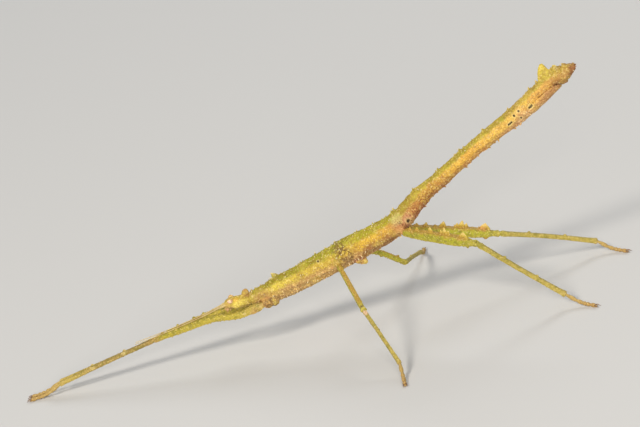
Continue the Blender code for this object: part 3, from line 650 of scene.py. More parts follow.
def body_relief(places, along, lift, free):
    """How far the skin of the trunk stands out at each place, in millimetres."""
    relief = np.zeros(len(places))
    for ridge_angle, width, tall, start, stop in RIDGES:
        window = step_up(along, start, start + 1.5) * (1 - step_up(along, stop - 1.5, stop))
        relief += tall * dent(lift - ridge_angle, width) * window
    fold_angle, width, deep, start, stop = SIDE_FOLD
    window = step_up(along, start, start + 2.0) * (1 - step_up(along, stop - 2.0, stop))
    relief -= deep * dent(lift - fold_angle, width) * window
    rim_tall, rim_back, rim_wide, groove_deep, groove_wide = RIM
    for name in list(BODY)[1:]:
        at = joints[name]
        strength = STIFF_SHARE if name in ("mesothorax", "metathorax") else 1.0
        relief -= strength * groove_deep * dent(along - at, groove_wide)
        relief += strength * rim_tall * dent(along - at + rim_back, rim_wide)
    relief += LUMPS[1] * noises(places, LUMPS[0], 1)
    relief += KNOBS[1] * noises(places, KNOBS[0], 7)
    relief -= WRINKLES[1] * np.abs(noises(places * (2.6, 1.0, 1.6), WRINKLES[0], 2))
    # The coarse grains stand out more in some patches than in others.
    dense = 0.4 + 0.6 * step_up(noises(places, 2.2, 4), -0.3, 0.3)
    relief += GRAIN[1] * grains(places, GRAIN[0], 3) * dense
    # Scars, warts and pits are on both sides alike.
    even = np.abs(places * (0, 1, 0)) + places * (1, 0, 1)
    for centre, radius, tall, apart in SCARS:
        gap = np.linalg.norm(even - centre, axis=1)
        relief += tall * np.cos(gap * 2 * np.pi / apart) * (1 - step_up(gap, radius * 0.8, radius))
    for centre, radius in WARTY:
        wart = grains(places, WARTS[0], 8) * 1.6 - 0.4
        gap = np.linalg.norm(even - centre, axis=1)
        relief += WARTS[1] * wart * (1 - step_up(gap, radius * 0.5, radius))
    for centre, radius, deep in PITS:
        relief -= deep * dent(np.linalg.norm(even - centre, axis=1), radius * 0.75)
    return relief * free


along, sideways, upwards, index = body.read(body_places)
angle = np.degrees(np.arctan2(upwards, -sideways))
lift = np.degrees(np.arctan2(upwards, np.abs(sideways)))
girth = np.hypot(sideways, upwards)
half_height = np.where(upwards > 0, body.sizes[index, 1], body.sizes[index, 2])
expected = np.hypot(np.cos(np.radians(lift)) * body.sizes[index, 0],
                    np.sin(np.radians(lift)) * half_height)
on_hip = np.zeros(len(body_places))
for end, direction in hip_lines:
    beside = body_places - end
    back = (beside * direction).sum(1)
    off = np.linalg.norm(beside - back[:, None] * direction, axis=1)
    on_hip = np.maximum(on_hip, step_up(back, -1.7, -1.2) * (1 - step_up(off, 0.9, 1.1)))
# What stands out from the plain trunk is a spine or a lobe, and has less relief of its own.
tip = np.clip((girth - expected - 0.11) / 0.7, 0, 1) * (1 - on_hip)
relief = body_relief(body_places, along, lift, 1 - 0.7 * step_up(tip, 0.0, 0.3))
body_places += body_outward * relief[:, None]
body_marks = {"along": along, "lift": lift / 90, "around": angle / 360, "tip": tip, "hip": on_hip}

along, sideways, upwards, index = body.read(head_places)
along = (head_places - body.points[0]) @ head_way
angle = np.degrees(np.arctan2(upwards, -sideways))
lift = np.degrees(np.arctan2(upwards, np.abs(sideways)))
reach = np.interp(along / BODY["head"][0], fine, head_sizes[1])
tip = np.clip((np.hypot(sideways, upwards) - reach - 0.1) / 0.6, 0, 1) * (lift > 20)
relief = (HEAD_LUMPS[1] * noises(head_places, HEAD_LUMPS[0], 5)
          + HEAD_GRAIN[1] * grains(head_places, HEAD_GRAIN[0], 6))
eye_gap = np.minimum(*(np.linalg.norm(head_places - mirrored(EYE, sign), axis=1) for sign in SIDES.values()))
relief += (EYE_RIM[2] * dent(eye_gap - EYE_RIM[0], EYE_RIM[1])
           - EYE_SOCKET[2] * (1 - step_up(eye_gap, *EYE_SOCKET[:2])))
# The seam and the ridges begin behind the face, and both grooves are curved.
relief -= CROWN_SEAM[1] * dent(sideways, CROWN_SEAM[0]) * (lift > 0) * step_up(along, 1.2, 1.8)
relief -= NECK_GROOVE[1] * dent(along - 3.75 + 0.25 * np.cos(np.radians(lift)), NECK_GROOVE[0])
relief += CROWN_RIDGE[2] * dent(lift - CROWN_RIDGE[0], CROWN_RIDGE[1]) * step_up(along, 1.3, 1.8)
relief -= FACE_GROOVE[1] * dent(along - 1.0 + 0.3 * np.sin(np.radians(lift)), FACE_GROOVE[0]) * (lift < 30)
head_places += head_outward * relief[:, None]
head_marks = {"along": along, "lift": lift / 90, "around": angle / 360, "tip": tip,
              "hip": np.zeros(len(along))}


def write_mark(mesh, name, values):
    """Gives a mesh a number at each of its points, under a name."""
    layer = mesh.attributes.new(name, "FLOAT", "POINT")
    layer.data.foreach_set("value", np.asarray(values, np.float32))


def read_mark(mesh, name):
    """The numbers that a mesh has at its points under a name."""
    values = np.empty(len(mesh.vertices), np.float32)
    mesh.attributes[name].data.foreach_get("value", values)
    return values


def make_piece(name, places, faces, marks):
    """A smooth mesh in millimetres with its marks, in the scene."""
    mesh = bpy.data.meshes.new(name)
    mesh.from_pydata(places, [], faces)
    for mark, values in marks.items():
        write_mark(mesh, mark, values)
    mesh.shade_smooth()
    return add_to_scene(name, mesh)


def settle(piece, slot, *nodes):
    """Moves a finished piece from the insect's plane to its place under the root, and hides the solids it
    stands in for.
    """
    piece.data.transform(Matrix.Scale(MM, 4) @ Matrix.Translation(-MIDDLE))
    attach(piece, "root")
    if nodes:
        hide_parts(*nodes)


skin = make_piece(
    "skin", np.concatenate([body_places, head_places]),
    np.concatenate([body_faces, head_faces + len(body_places)]).tolist(),
    {mark: np.concatenate([body_marks[mark], head_marks[mark]]) for mark in body_marks})


class Nodes:
    """A tree of nodes, built a node at a time."""

    def __init__(self, tree):
        self.tree = tree

    def node(self, kind, settings=None, **sockets):
        """One node: its settings first, then a value or link for each socket, by name or _number."""
        made = self.tree.nodes.new(kind)
        for key, value in (settings or {}).items():
            if key == "stops":
                made.color_ramp.interpolation = "EASE"
                while len(made.color_ramp.elements) < len(value):
                    made.color_ramp.elements.new(1.0)
                for element, (place, colour) in zip(made.color_ramp.elements, value):
                    element.position = place
                    element.color = (*colour, 1.0)
            else:
                setattr(made, key, value)
        for key, value in sockets.items():
            socket = made.inputs[int(key[1:]) if key[1:].isdigit() else key.replace("_", " ")]
            value = value.socket if isinstance(value, Amount) else value
            if isinstance(value, bpy.types.NodeSocket):
                self.tree.links.new(value, socket)
            else:
                socket.default_value = value
        return made.outputs


class Amount:
    """A number that changes over a surface; sums with it add Math nodes."""

    def __init__(self, finish, socket):
        self.finish = finish
        self.socket = socket

    def sum_with(self, operation, first, second):
        values = [v.socket if isinstance(v, Amount) else v for v in (first, second)]
        return Amount(self.finish, self.finish.node("ShaderNodeMath", {"operation": operation},
                                                    _0=values[0], _1=values[1])[0])

    def __add__(self, other):
        return self.sum_with("ADD", self, other)

    __radd__ = __add__

    def __sub__(self, other):
        return self.sum_with("SUBTRACT", self, other)

    def __rsub__(self, other):
        return self.sum_with("SUBTRACT", other, self)

    def __mul__(self, other):
        return self.sum_with("MULTIPLY", self, other)

    __rmul__ = __mul__


class Finish(Nodes):
    """A material; the places in it are in millimetres on the insect's own plane."""

    def __init__(self, name, roughness=0.55, **fixed):
        self.material = bpy.data.materials.new(name)
        self.material.use_nodes = True
        super().__init__(self.material.node_tree)
        self.shader = self.tree.nodes["Principled BSDF"]
        self.shader.inputs["Roughness"].default_value = roughness
        for key, value in fixed.items():
            self.shader.inputs[key.replace("_", " ")].default_value = value
        place = self.node("ShaderNodeTexCoord")["Object"]
        self.place = self.node("ShaderNodeVectorMath", {"operation": "MULTIPLY_ADD"},
                               _0=place, _1=(1000,) * 3, _2=tuple(MIDDLE))[0]
        apart = self.node("ShaderNodeSeparateXYZ", Vector=self.place)
        sideways = self.node("ShaderNodeMath", {"operation": "ABSOLUTE"}, _0=apart["Y"])[0]
        self.even = self.node("ShaderNodeCombineXYZ", X=apart["X"], Y=sideways, Z=apart["Z"])[0]

    def mark(self, name):
        """A number that the mesh has at its points."""
        return Amount(self, self.node("ShaderNodeAttribute", {"attribute_name": name})["Fac"])

    def cloud(self, size, detail=2.0, stretch=(1, 1, 1)):
        """Soft noise from 0 to 1 with blotches of a size in millimetres."""
        place = self.node("ShaderNodeVectorMath", {"operation": "MULTIPLY"}, _0=self.place,
                          _1=tuple(s / size for s in stretch))[0]
        return Amount(self, self.node("ShaderNodeTexNoise", Vector=place, Scale=1.0,
                                      Detail=detail)["Fac"])

    def cells(self, size):
        """Distance from the middles of uneven cells of a size in millimetres."""
        drift = self.node("ShaderNodeTexNoise", Vector=self.place, Scale=0.6 / size, Detail=1.0)["Color"]
        place = self.node("ShaderNodeVectorMath", {"operation": "MULTIPLY_ADD"}, _0=drift,
                          _1=(size * 1.6,) * 3, _2=self.place)[0]
        return Amount(self, self.node("ShaderNodeTexVoronoi", Vector=place, Scale=1 / size)["Distance"])

    def between(self, amount, low, high):
        """0 below low, 1 above high, smooth between; low may be the larger of the two."""
        return Amount(self, self.node("ShaderNodeMapRange", {"interpolation_type": "SMOOTHSTEP"},
                                      Value=amount, From_Min=low, From_Max=high)["Result"])

    def distance(self, place, centre):
        """Millimetres from a place to a fixed one."""
        gap = self.node("ShaderNodeVectorMath", {"operation": "DISTANCE"}, _0=place, _1=centre)
        return Amount(self, gap["Value"])

    def near(self, centre, inner, outer):
        """1 within a distance of a place or its mirror image, and 0 beyond a larger one."""
        drift = self.node("ShaderNodeTexNoise", Vector=self.place, Scale=1.4, Detail=2.0)["Color"]
        place = self.node("ShaderNodeVectorMath", {"operation": "MULTIPLY_ADD"}, _0=drift,
                          _1=(outer * 0.8,) * 3, _2=self.even)[0]
        centre = tuple(c + outer * 0.4 for c in centre)
        return self.between(self.distance(place, centre), outer, inner)

    def ring(self, centre, radius, wide):
        """1 on a ring about a place or its mirror image, broken here and there."""
        gap = self.distance(self.even, centre)
        ring = self.between(gap, radius - wide, radius) * self.between(gap, radius + wide, radius)
        return ring * self.between(self.cloud(0.5, 2.0), 0.38, 0.55)

    def ramp(self, amount, stops):
        """Colours along an amount from 0 to 1."""
        return self.node("ShaderNodeValToRGB", {"stops": stops}, Fac=amount)["Color"]

    def mix(self, share, first, second):
        """The first colour where the share is 0, and the second where it is 1."""
        first, second = ((*c, 1.0) if isinstance(c, tuple) else c for c in (first, second))
        return self.node("ShaderNodeMix", {"data_type": "RGBA"}, _0=share, _6=first, _7=second)[2]

    def bump(self, amount, height):
        """Relief from an amount; height is in millimetres."""
        return self.node("ShaderNodeBump", Height=amount, Strength=1.0, Distance=height * MM)["Normal"]

    def cover(self, colour, roughness=None, normal=None):
        """Sends what changes over the surface to the shader, and gives the finished material."""
        roughness = roughness.socket if isinstance(roughness, Amount) else roughness
        for name, link in (("Base Color", colour), ("Roughness", roughness), ("Normal", normal)):
            if link is not None:
                self.tree.links.new(link, self.shader.inputs[name])
        return self.material


BODY_LENGTH = float(body.along[-1])


def along_body(*stops):
    """Colour stops from millimetres along the body to shares of it."""
    return [(place / BODY_LENGTH, colour) for place, colour in stops]


# Olive along the back, darkened further as painted shade on the top of the body; straw at the sides and
# pinkish brown below.
BACK_COLOURS_WITH_SHADE = along_body(
    (0, (0.46, 0.34, 0.06)), (2.0, (0.54, 0.40, 0.04)), (5.0, (0.40, 0.34, 0.03)),
    (9.0, (0.32, 0.29, 0.02)), (22.0, (0.33, 0.32, 0.015)), (32.0, (0.40, 0.36, 0.02)),
    (36.0, (0.38, 0.30, 0.03)), (48.0, (0.40, 0.34, 0.03)), (56.0, (0.44, 0.36, 0.04)),
    (63.0, (0.46, 0.33, 0.05)), (69.0, (0.52, 0.41, 0.06)), (74.0, (0.34, 0.19, 0.05)))
FLANK_COLOURS = along_body(
    (0, (0.64, 0.44, 0.14)), (2.0, (0.74, 0.60, 0.10)), (5.5, (0.48, 0.38, 0.06)),
    (10.0, (0.68, 0.54, 0.07)), (20.0, (0.58, 0.42, 0.05)), (29.0, (0.70, 0.44, 0.045)),
    (35.0, (0.50, 0.24, 0.07)), (42.0, (0.50, 0.25, 0.05)), (50.0, (0.78, 0.45, 0.07)),
    (58.0, (0.82, 0.53, 0.10)), (66.0, (0.76, 0.44, 0.09)), (74.0, (0.32, 0.15, 0.05)))
BELLY_COLOURS = along_body(
    (0, (0.58, 0.38, 0.14)), (3.0, (0.62, 0.49, 0.09)), (9.0, (0.76, 0.51, 0.17)),
    (22.0, (0.78, 0.50, 0.16)), (30.0, (0.40, 0.21, 0.06)), (34.0, (0.36, 0.16, 0.06)),
    (44.0, (0.40, 0.19, 0.06)), (52.0, (0.58, 0.31, 0.08)), (62.0, (0.66, 0.39, 0.14)),
    (74.0, (0.30, 0.14, 0.05)))
RUST = (0.24, 0.06, 0.02)
BROWN = (0.16, 0.085, 0.025)
CREAM = (0.86, 0.68, 0.27)
DARK = (0.03, 0.018, 0.01)
ORANGE = (0.60, 0.29, 0.09)
LEMON = (0.76, 0.60, 0.08)
PINK = (0.50, 0.22, 0.12)
LEAF = (0.40, 0.44, 0.04)
SKIN_PINK = (0.84, 0.56, 0.30)
THORN_TIP = (0.76, 0.62, 0.36)
# Places with a colour of their own: place, inner and outer radius, colour and strength. They
# are on both sides alike.
PATCHES = (
    ((12.6, 1.7, 16.2), 0.3, 1.9, (0.58, 0.30, 0.14), 0.6),
    ((14.3, 1.5, 17.0), 0.5, 1.7, (0.60, 0.32, 0.18), 0.6),
    ((4.2, 1.5, 11.9), 0.6, 1.4, PINK, 0.8),
    ((5.3, 1.6, 11.7), 0.1, 0.4, CREAM, 0.8),
    ((0.9, 1.46, 14.6), 0.3, 1.0, LEAF, 0.7),
    ((0.7, 2.3, 12.9), 0.5, 1.4, LEAF, 0.7),
    ((33.5, 0.75, 30.3), 0.2, 0.9, LEAF, 0.5),
    ((12.2, 1.4, 17.5), 0.5, 1.5, (0.62, 0.58, 0.20), 0.6),
    ((-13.4, 1.4, 8.9), 0.9, 2.5, (0.48, 0.28, 0.09), 0.6),
    ((-16.1, 0.62, 10.7), 0.55, 1.15, (0.44, 0.23, 0.08), 0.85),
    ((-18.3, 0.75, 9.85), 0.2, 0.75, (0.72, 0.38, 0.05), 0.7),
    ((-20.4, 0.65, 8.95), 0.06, 0.3, DARK, 0.8),
    ((44.2, 0.6, 36.4), 0.2, 0.5, CREAM, 0.7),
    ((45.5, 1.2, 35.1), 0.2, 0.9, PINK, 0.6),
    ((37.2, 1.2, 29.7), 0.5, 2.3, (0.78, 0.50, 0.26), 0.6),
)


def body_colour(finish):
    """The markings of head, thorax and abdomen, from the broad bands to the smallest flecks, with painted
    shade on the back and in the grooves between the grains.
    """
    along = finish.mark("along") * (1 / BODY_LENGTH)
    lift = finish.mark("lift") + finish.cloud(1.4, 3.0) * 0.5 - 0.25
    # Back colours, darkened past the skin's own olive as painted shade on the top.
    colour = finish.mix(finish.between(lift, 0.26, 0.56), finish.ramp(along, FLANK_COLOURS),
                        finish.ramp(along, BACK_COLOURS_WITH_SHADE))
    thorax = finish.between(along, 0.47, 0.42) * finish.between(along, 0.05, 0.1)
    low = finish.between(lift - thorax * 0.24, -0.1, -0.42)
    colour = finish.mix(low, colour, finish.ramp(along, BELLY_COLOURS))
    below = low * thorax * 0.45
    colour = finish.mix(below * finish.between(finish.cells(0.7), 0.2, 0.5), colour, BROWN)
    colour = finish.mix(below * finish.between(finish.cells(0.55), 0.3, 0.08), colour, SKIN_PINK)
    for centre, inner, outer, tint, strength in PATCHES:
        colour = finish.mix(finish.near(centre, inner, outer) * strength, colour, tint)
    blotch = finish.between(finish.cloud(1.0, 4.0, (0.6, 1, 1)), 0.54, 0.66)
    colour = finish.mix(blotch * 0.28, colour, BROWN)
    wash = finish.between(finish.cloud(2.6, 3.0), 0.52, 0.66)
    colour = finish.mix(wash * 0.3, colour, LEMON)
    fleck = finish.between(finish.cloud(0.42, 2.0), 0.56, 0.68)
    colour = finish.mix(fleck * 0.5, colour, CREAM)
    # Rust-brown in the grooves of the bump between the grains: partly dark specks of the skin, partly painted
    # shade in the grooves.
    gaps = finish.between(finish.cells(0.27), 0.36, 0.66)
    colour = finish.mix(gaps * 0.34, colour, RUST)
    specks = finish.between(lift, 0.45, 0.0) * finish.between(finish.cloud(0.27, 1.0), 0.54, 0.6)
    dense = finish.between(along, 0.44, 0.47) * finish.between(along, 0.66, 0.52) * 0.6
    dense = dense + finish.between(along, 0.04, 0.1) * 0.32
    colour = finish.mix(specks * dense, colour, RUST)
    colour = finish.mix(finish.mark("hip") * 0.3, colour, ORANGE)
    crown = finish.between(finish.mark("tip"), 0.1, 0.6) * finish.between(finish.cloud(0.9, 3.0), 0.35, 0.6)
    colour = finish.mix(crown * 0.45, colour, LEMON)
    for centre, radius in WARTY:
        warty = finish.near(centre, radius * 0.35, radius * 1.1)
        stain = finish.between(finish.cloud(0.5, 3.0), 0.42, 0.56)
        colour = finish.mix(warty * stain * 0.75, colour, BROWN)
        colour = finish.mix(warty * finish.between(finish.cells(0.42), 0.3, 0.12) * 0.7, colour, CREAM)
    for centre, _, _, apart in SCARS:
        colour = finish.mix(finish.ring(centre, 2 * apart, 0.7 * apart) * 0.7, colour, BROWN)
    for centre, radius, _ in PITS:
        colour = finish.mix(finish.near(centre, radius * 1.1, radius * 2.0) * 0.35, colour, CREAM)
    for centre, radius, _ in PITS:
        colour = finish.mix(finish.near(centre, radius * 0.55, radius * 1.0) * 0.95, colour, DARK)
    return colour


skin_finish = Finish("skin", Specular_IOR_Level=0.25)
fine = skin_finish.cloud(0.11, 3.0) - 0.9 * skin_finish.cells(0.27)
skin.data.materials.append(skin_finish.cover(
    body_colour(skin_finish), 0.42 + 0.3 * skin_finish.cloud(0.5), skin_finish.bump(fine, 0.06)))


def stud_paint(name, colour, mark, low, high, strength, tint):
    """The material of grains or thorns: the colours of their skin, with paler tops."""
    finish = Finish(name, 0.45, Specular_IOR_Level=0.4)
    pale = finish.between(finish.mark(mark), low, high) * strength
    return finish.cover(finish.mix(pale, colour(finish), tint))


body_grain_paint = stud_paint("body_grains", body_colour, "tone", 0.45, 1.0, 0.35, CREAM)
thorn_paint = stud_paint("body_thorns", body_colour, "crown", 0.25, 0.8, 1.0, THORN_TIP)

# Grains and thorns: least distance apart, density, and least and greatest size.
BODY_GRAINS = (0.18, 20.0, 0.04, 0.14)
BODY_THORNS = (0.38, 6.0, 0.2, 0.62)
# Rows of thorns: angle up from the side, width in degrees and strength.
THORN_ROWS = ((76, 7, 1.0), (46, 6, 0.8), (14, 6, 0.8), (-24, 7, 1.0), (-52, 8, 1.0))
# The edge that stays free round the map for the bake, and the size of a stud's patch in it.
MAP_EDGE = 0.005
PATCH_SIZE = 0.0015


class Growth(Nodes):
    """A Geometry Nodes tree with named inputs."""

    def __init__(self, name, inputs):
        super().__init__(bpy.data.node_groups.new(name, "GeometryNodeTree"))
        for label, kind in {"Geometry": "Geometry", **inputs}.items():
            self.tree.interface.new_socket(label, in_out="INPUT", socket_type=f"NodeSocket{kind}")
        self.tree.interface.new_socket("Geometry", in_out="OUTPUT", socket_type="NodeSocketGeometry")
        self.inputs = self.node("NodeGroupInput")

    def mark(self, name, kind="FLOAT"):
        """A number or vector that the mesh has at its points."""
        return self.node("GeometryNodeInputNamedAttribute", {"data_type": kind}, Name=name)["Attribute"]

    def finish(self, placed):
        """Ends the tree: the placed copies become plain faces with their material."""
        real = self.node("GeometryNodeRealizeInstances", Geometry=placed)["Geometry"]
        self.node("NodeGroupOutput", _0=self.node("GeometryNodeSetMaterial", Geometry=real,
                                                  Material=self.inputs["Material"])["Geometry"])

    def grow(self, thing, name, values):
        """Runs the tree on an object and returns the result as a plain mesh object."""
        modifier = thing.modifiers.new(name, "NODES")
        modifier.node_group = self.tree
        for item in self.tree.interface.items_tree:
            if item.in_out == "INPUT" and item.name in values:
                modifier[item.identifier] = values[item.name]
        evaluated = thing.evaluated_get(bpy.context.evaluated_depsgraph_get())
        grown = bpy.data.meshes.new_from_object(evaluated)
        thing.modifiers.remove(modifier)
        grown.shade_smooth()
        return add_to_scene(name, grown)


def studs(name, rings, around):
    """A small shape on the skin, open at its sunk root, from rings of height, radius and shift."""
    points, crown = [], []
    for level, half, shift in rings:
        for k in range(around if half else 1):
            turned = 2 * math.pi * k / around
            points.append((half * math.cos(turned) + shift, half * math.sin(turned), level))
            crown.append(level / rings[-1][0])
    faces = []
    for i in range(len(rings) - 1):
        for k in range(around):
            j = (k + 1) % around
            low, high = i * around, (i + 1) * around
            upper = (high + j, high + k) if rings[i + 1][1] else (high,)
            faces.append((low + k, low + j, *upper))
    points = np.array(points)
    return make_piece(name, points, faces, {"crown": np.clip(crown, 0, 1), "spread_x": points[:, 0],
                                            "spread_y": points[:, 1]})


grain_shape = studs("grain_shape", ((-0.35, 1.0, 0), (0.4, 0.74, 0), (0.75, 0.0, 0)), 7)
thorn_shape = studs("thorn_shape", ((-0.3, 0.62, 0), (0.06, 0.42, 0), (0.36, 0.26, 0.03),
                                    (0.76, 0.12, 0.12), (1.0, 0.0, 0.2)), 8)

scatter = Growth("scatter", {
    "Shape": "Object", "Apart": "Float", "Density": "Float", "Smallest": "Float", "Largest": "Float",
    "Seed": "Int", "Where": "String", "Material": "Material"})
where = scatter.mark(scatter.inputs["Where"])
strewn = scatter.node("GeometryNodeDistributePointsOnFaces", {"distribute_method": "POISSON"},
                      Mesh=scatter.inputs["Geometry"], Distance_Min=scatter.inputs["Apart"],
                      Density_Max=scatter.inputs["Density"], Density_Factor=where,
                      Seed=scatter.inputs["Seed"])
tone = scatter.node("FunctionNodeRandomValue", {"data_type": "FLOAT"}, Seed=scatter.inputs["Seed"])
marked = scatter.node("GeometryNodeStoreNamedAttribute", {"data_type": "FLOAT", "domain": "POINT"},
                      Geometry=strewn["Points"], Name="tone", Value=tone[1])["Geometry"]
dice = scatter.node("FunctionNodeRandomValue", {"data_type": "FLOAT"}, Seed=scatter.inputs["Seed"])[1]
dice = scatter.node("ShaderNodeMath", {"operation": "POWER"}, _0=dice, _1=2.2)[0]
size = scatter.node("ShaderNodeMapRange", Value=dice, To_Min=scatter.inputs["Smallest"],
                    To_Max=scatter.inputs["Largest"])[0]
uneven = scatter.node("FunctionNodeRandomValue", {"data_type": "FLOAT_VECTOR"}, _0=(0.75, 0.75, 0.6),
                      _1=(1.3, 1.0, 1.2), Seed=9)[0]
size = scatter.node("ShaderNodeVectorMath", {"operation": "SCALE"}, _0=uneven, Scale=size)[0]
shape = scatter.node("GeometryNodeObjectInfo", Object=scatter.inputs["Shape"])["Geometry"]
placed = scatter.node("GeometryNodeInstanceOnPoints", Points=marked, Rotation=strewn["Rotation"],
                      Scale=size, Instance=shape)["Instances"]
spin = scatter.node("FunctionNodeRandomValue", {"data_type": "FLOAT"}, _3=2 * math.pi, Seed=77)[1]
turned = scatter.node("ShaderNodeCombineXYZ", Z=spin)["Vector"]
scatter.finish(scatter.node("GeometryNodeRotateInstances", Instances=placed, Rotation=turned)["Instances"])


def strew(piece, name, shape, amounts, seed, where, paint, length_mark, length):
    """Studs all over a piece, by least distance apart, density and least and greatest size."""
    grown = scatter.grow(piece, name, {
        **dict(zip(("Apart", "Density", "Smallest", "Largest"), amounts)),
        "Shape": shape, "Seed": seed, "Where": where, "Material": paint})
    # In the map for the bake each stud is a small patch at its root's place on the skin.
    mesh = grown.data
    root = np.stack([read_mark(mesh, length_mark) / length, read_mark(mesh, "around") % 1.0], 1)
    spread = np.stack([read_mark(mesh, "spread_x"), read_mark(mesh, "spread_y")], 1)
    patch = root * (1 - 2 * MAP_EDGE) + MAP_EDGE + spread * PATCH_SIZE
    corners = np.empty(len(mesh.loops), np.int32)
    mesh.loops.foreach_get("vertex_index", corners)
    layer = mesh.uv_layers.new(name="OFBake")
    layer.data.foreach_set("uv", patch[corners].astype(np.float32).ravel())
    layer.active_render = True
    return grown


marks = {name: read_mark(skin.data, name) for name in ("along", "lift", "tip", "hip")}
degrees = marks["lift"] * 90
thorax = step_up(marks["along"], 4.5, 6.0) * (1 - step_up(marks["along"], 33.5, 35.0))
rows = sum(strength * dent(degrees - angle, width) for angle, width, strength in THORN_ROWS)
thorny = rows * (thorax + 0.35 * (1 - thorax) * step_up(marks["along"], 35, 36)) * (1 - marks["hip"])
thorny *= marks["tip"] < 0.15
grainy = np.clip(0.55 + 0.45 * np.sin(degrees * 0.2), 0.2, 1)
write_mark(skin.data, "thorny", thorny)
write_mark(skin.data, "grainy", grainy)
body_grains = strew(skin, "body_grains", grain_shape, BODY_GRAINS, 3, "grainy", body_grain_paint,
                    "along", BODY_LENGTH)
body_thorns = strew(skin, "body_thorns", thorn_shape, BODY_THORNS, 5, "thorny", thorn_paint,
                    "along", BODY_LENGTH)
bpy.data.objects.remove(thorn_shape)
settle(skin, "abdomen", *BODY)
settle(body_grains, "abdomen")
settle(body_thorns, "thorax")

# Sharp spines
# Hard thorn-like outgrowths of the skin with pale tips, rooted in it: a pair at the front of
# the long middle thorax, and small ones round the front six lengths of the abdomen.

# Place along the body, angle up from the side, height, length, thickness and lean rearwards.
SHARP_SPINES = [(length_at("mesothorax", 0.11), 66, 1.0, 1.5, 0.5, -0.55)]
# Share of each length, angle, height and length of the small ones.
SMALL_SPINES = ((0.88, 72, 0.45, 0.5), (0.68, -74, 0.42, 0.5), (0.4, 26, 0.25, 0.36), (0.9, 20, 0.3, 0.36))
for name in ABDOMEN[:6]:
    for share, angle, tall, base in SMALL_SPINES:
        if name != "abdomen_7" or angle > 0:
            SHARP_SPINES.append((length_at(name, share), angle, tall, base, 0.8 * base, 0.25))
SPINE_STEPS = 8
SPINE_AROUND = 12
SPINE_TIP = (0.72, 0.62, 0.30)
spine_shapes = []
for along, angle, tall, base, thick, lean in SHARP_SPINES:
    for side_angle in (angle, 180 - angle):
        root, outward, way = on_body(along, side_angle)
        spine_shapes.append(spike(root, outward, way, tall, base, thick, lean, 0.35, 0.0,
                                  SPINE_STEPS, SPINE_AROUND))
places, faces = join(spine_shapes)
along, sideways, upwards, index = body.read(places)
crown = np.concatenate([[0.0], np.linspace(0, 1, SPINE_STEPS)]).repeat(SPINE_AROUND)
spines = make_piece("spines", places, faces, {
    "along": along, "lift": np.degrees(np.arctan2(upwards, np.abs(sideways))) / 90,
    "tip": 0 * along, "hip": 0 * along,
    "crown": np.tile(np.concatenate([crown, [0.0, 1.0]]), len(spine_shapes))})
spine_finish = Finish("spines", 0.42, Specular_IOR_Level=0.4)
pale = spine_finish.between(spine_finish.mark("crown"), 0.5, 1.0)
spines.data.materials.append(spine_finish.cover(
    spine_finish.mix(pale, body_colour(spine_finish), SPINE_TIP), None,
    spine_finish.bump(spine_finish.cloud(0.1), 0.02)))
settle(spines, "thorax")

# Plate below the tail
# A boat-shaped plate of the same hard skin, with a thin pale rim and a keel. It is hinged
# below the seventh length of the abdomen and holds each egg as it is laid.

# Where it is hinged, as a share of the seventh length of the abdomen.
PLATE_START = 0.44
PLATE_LENGTH = 6.9
# Share of the plate, depth below the middle line of the body, half width and depth of rim.
PLATE = ((0.0, 1.7, 1.28, 0.62), (0.05, 1.82, 1.44, 0.52), (0.15, 1.89, 1.5, 0.44),
         (0.5, 1.92, 1.49, 0.44), (0.75, 1.9, 1.32, 0.56), (0.9, 1.86, 0.95, 0.92), (1.0, 1.8, 0.3, 1.45))
PLATE_THICKNESS = 0.22
PLATE_ACROSS = 40
PLATE_VOXEL = 0.07
PLATE_LUMPS = (0.6, 0.05)
PLATE_GRAIN = (0.32, 0.05)
PLATE_RIM = (0.74, 0.54, 0.22)
PLATE_GRAINS = (0.2, 12.0, 0.04, 0.1)
shares = np.linspace(0, 1, 80)
columns = list(zip(*PLATE))
outlines = []
for share in shares:
    deep, wide, rim = (float(np.interp(share, columns[0], column)) for column in columns[1:])
    swing = np.linspace(-1, 1, PLATE_ACROSS)
    across = np.sign(swing) * np.abs(np.sin(swing * np.pi / 2)) ** 0.8 * wide
    depth = rim + (deep - rim) * np.cos(swing * np.pi / 2) ** 0.55
    depth += 0.07 * dent(swing, 0.1)
    outer = np.stack([across, -depth], 1)
    inner = np.stack([across * (1 - PLATE_THICKNESS / max(wide, 0.4)),
                      PLATE_THICKNESS * np.cos(swing * np.pi / 2) ** 0.4 - depth], 1)
    outlines.append(np.concatenate([outer, inner[::-1]]))
plate_from = length_at("abdomen_7", PLATE_START) - 0.12
index = np.searchsorted(body.along, plate_from + shares * PLATE_LENGTH)
places, outward, faces = fuse([tube(body.points[index], body.ways[index], np.array(outlines))],
                               PLATE_VOXEL, 2)
along, sideways, upwards, index = body.read(places)
swing = np.degrees(np.arctan2(sideways, -upwards))
relief = (PLATE_LUMPS[1] * noises(places, PLATE_LUMPS[0], 31)
          + PLATE_GRAIN[1] * grains(places, PLATE_GRAIN[0], 32))
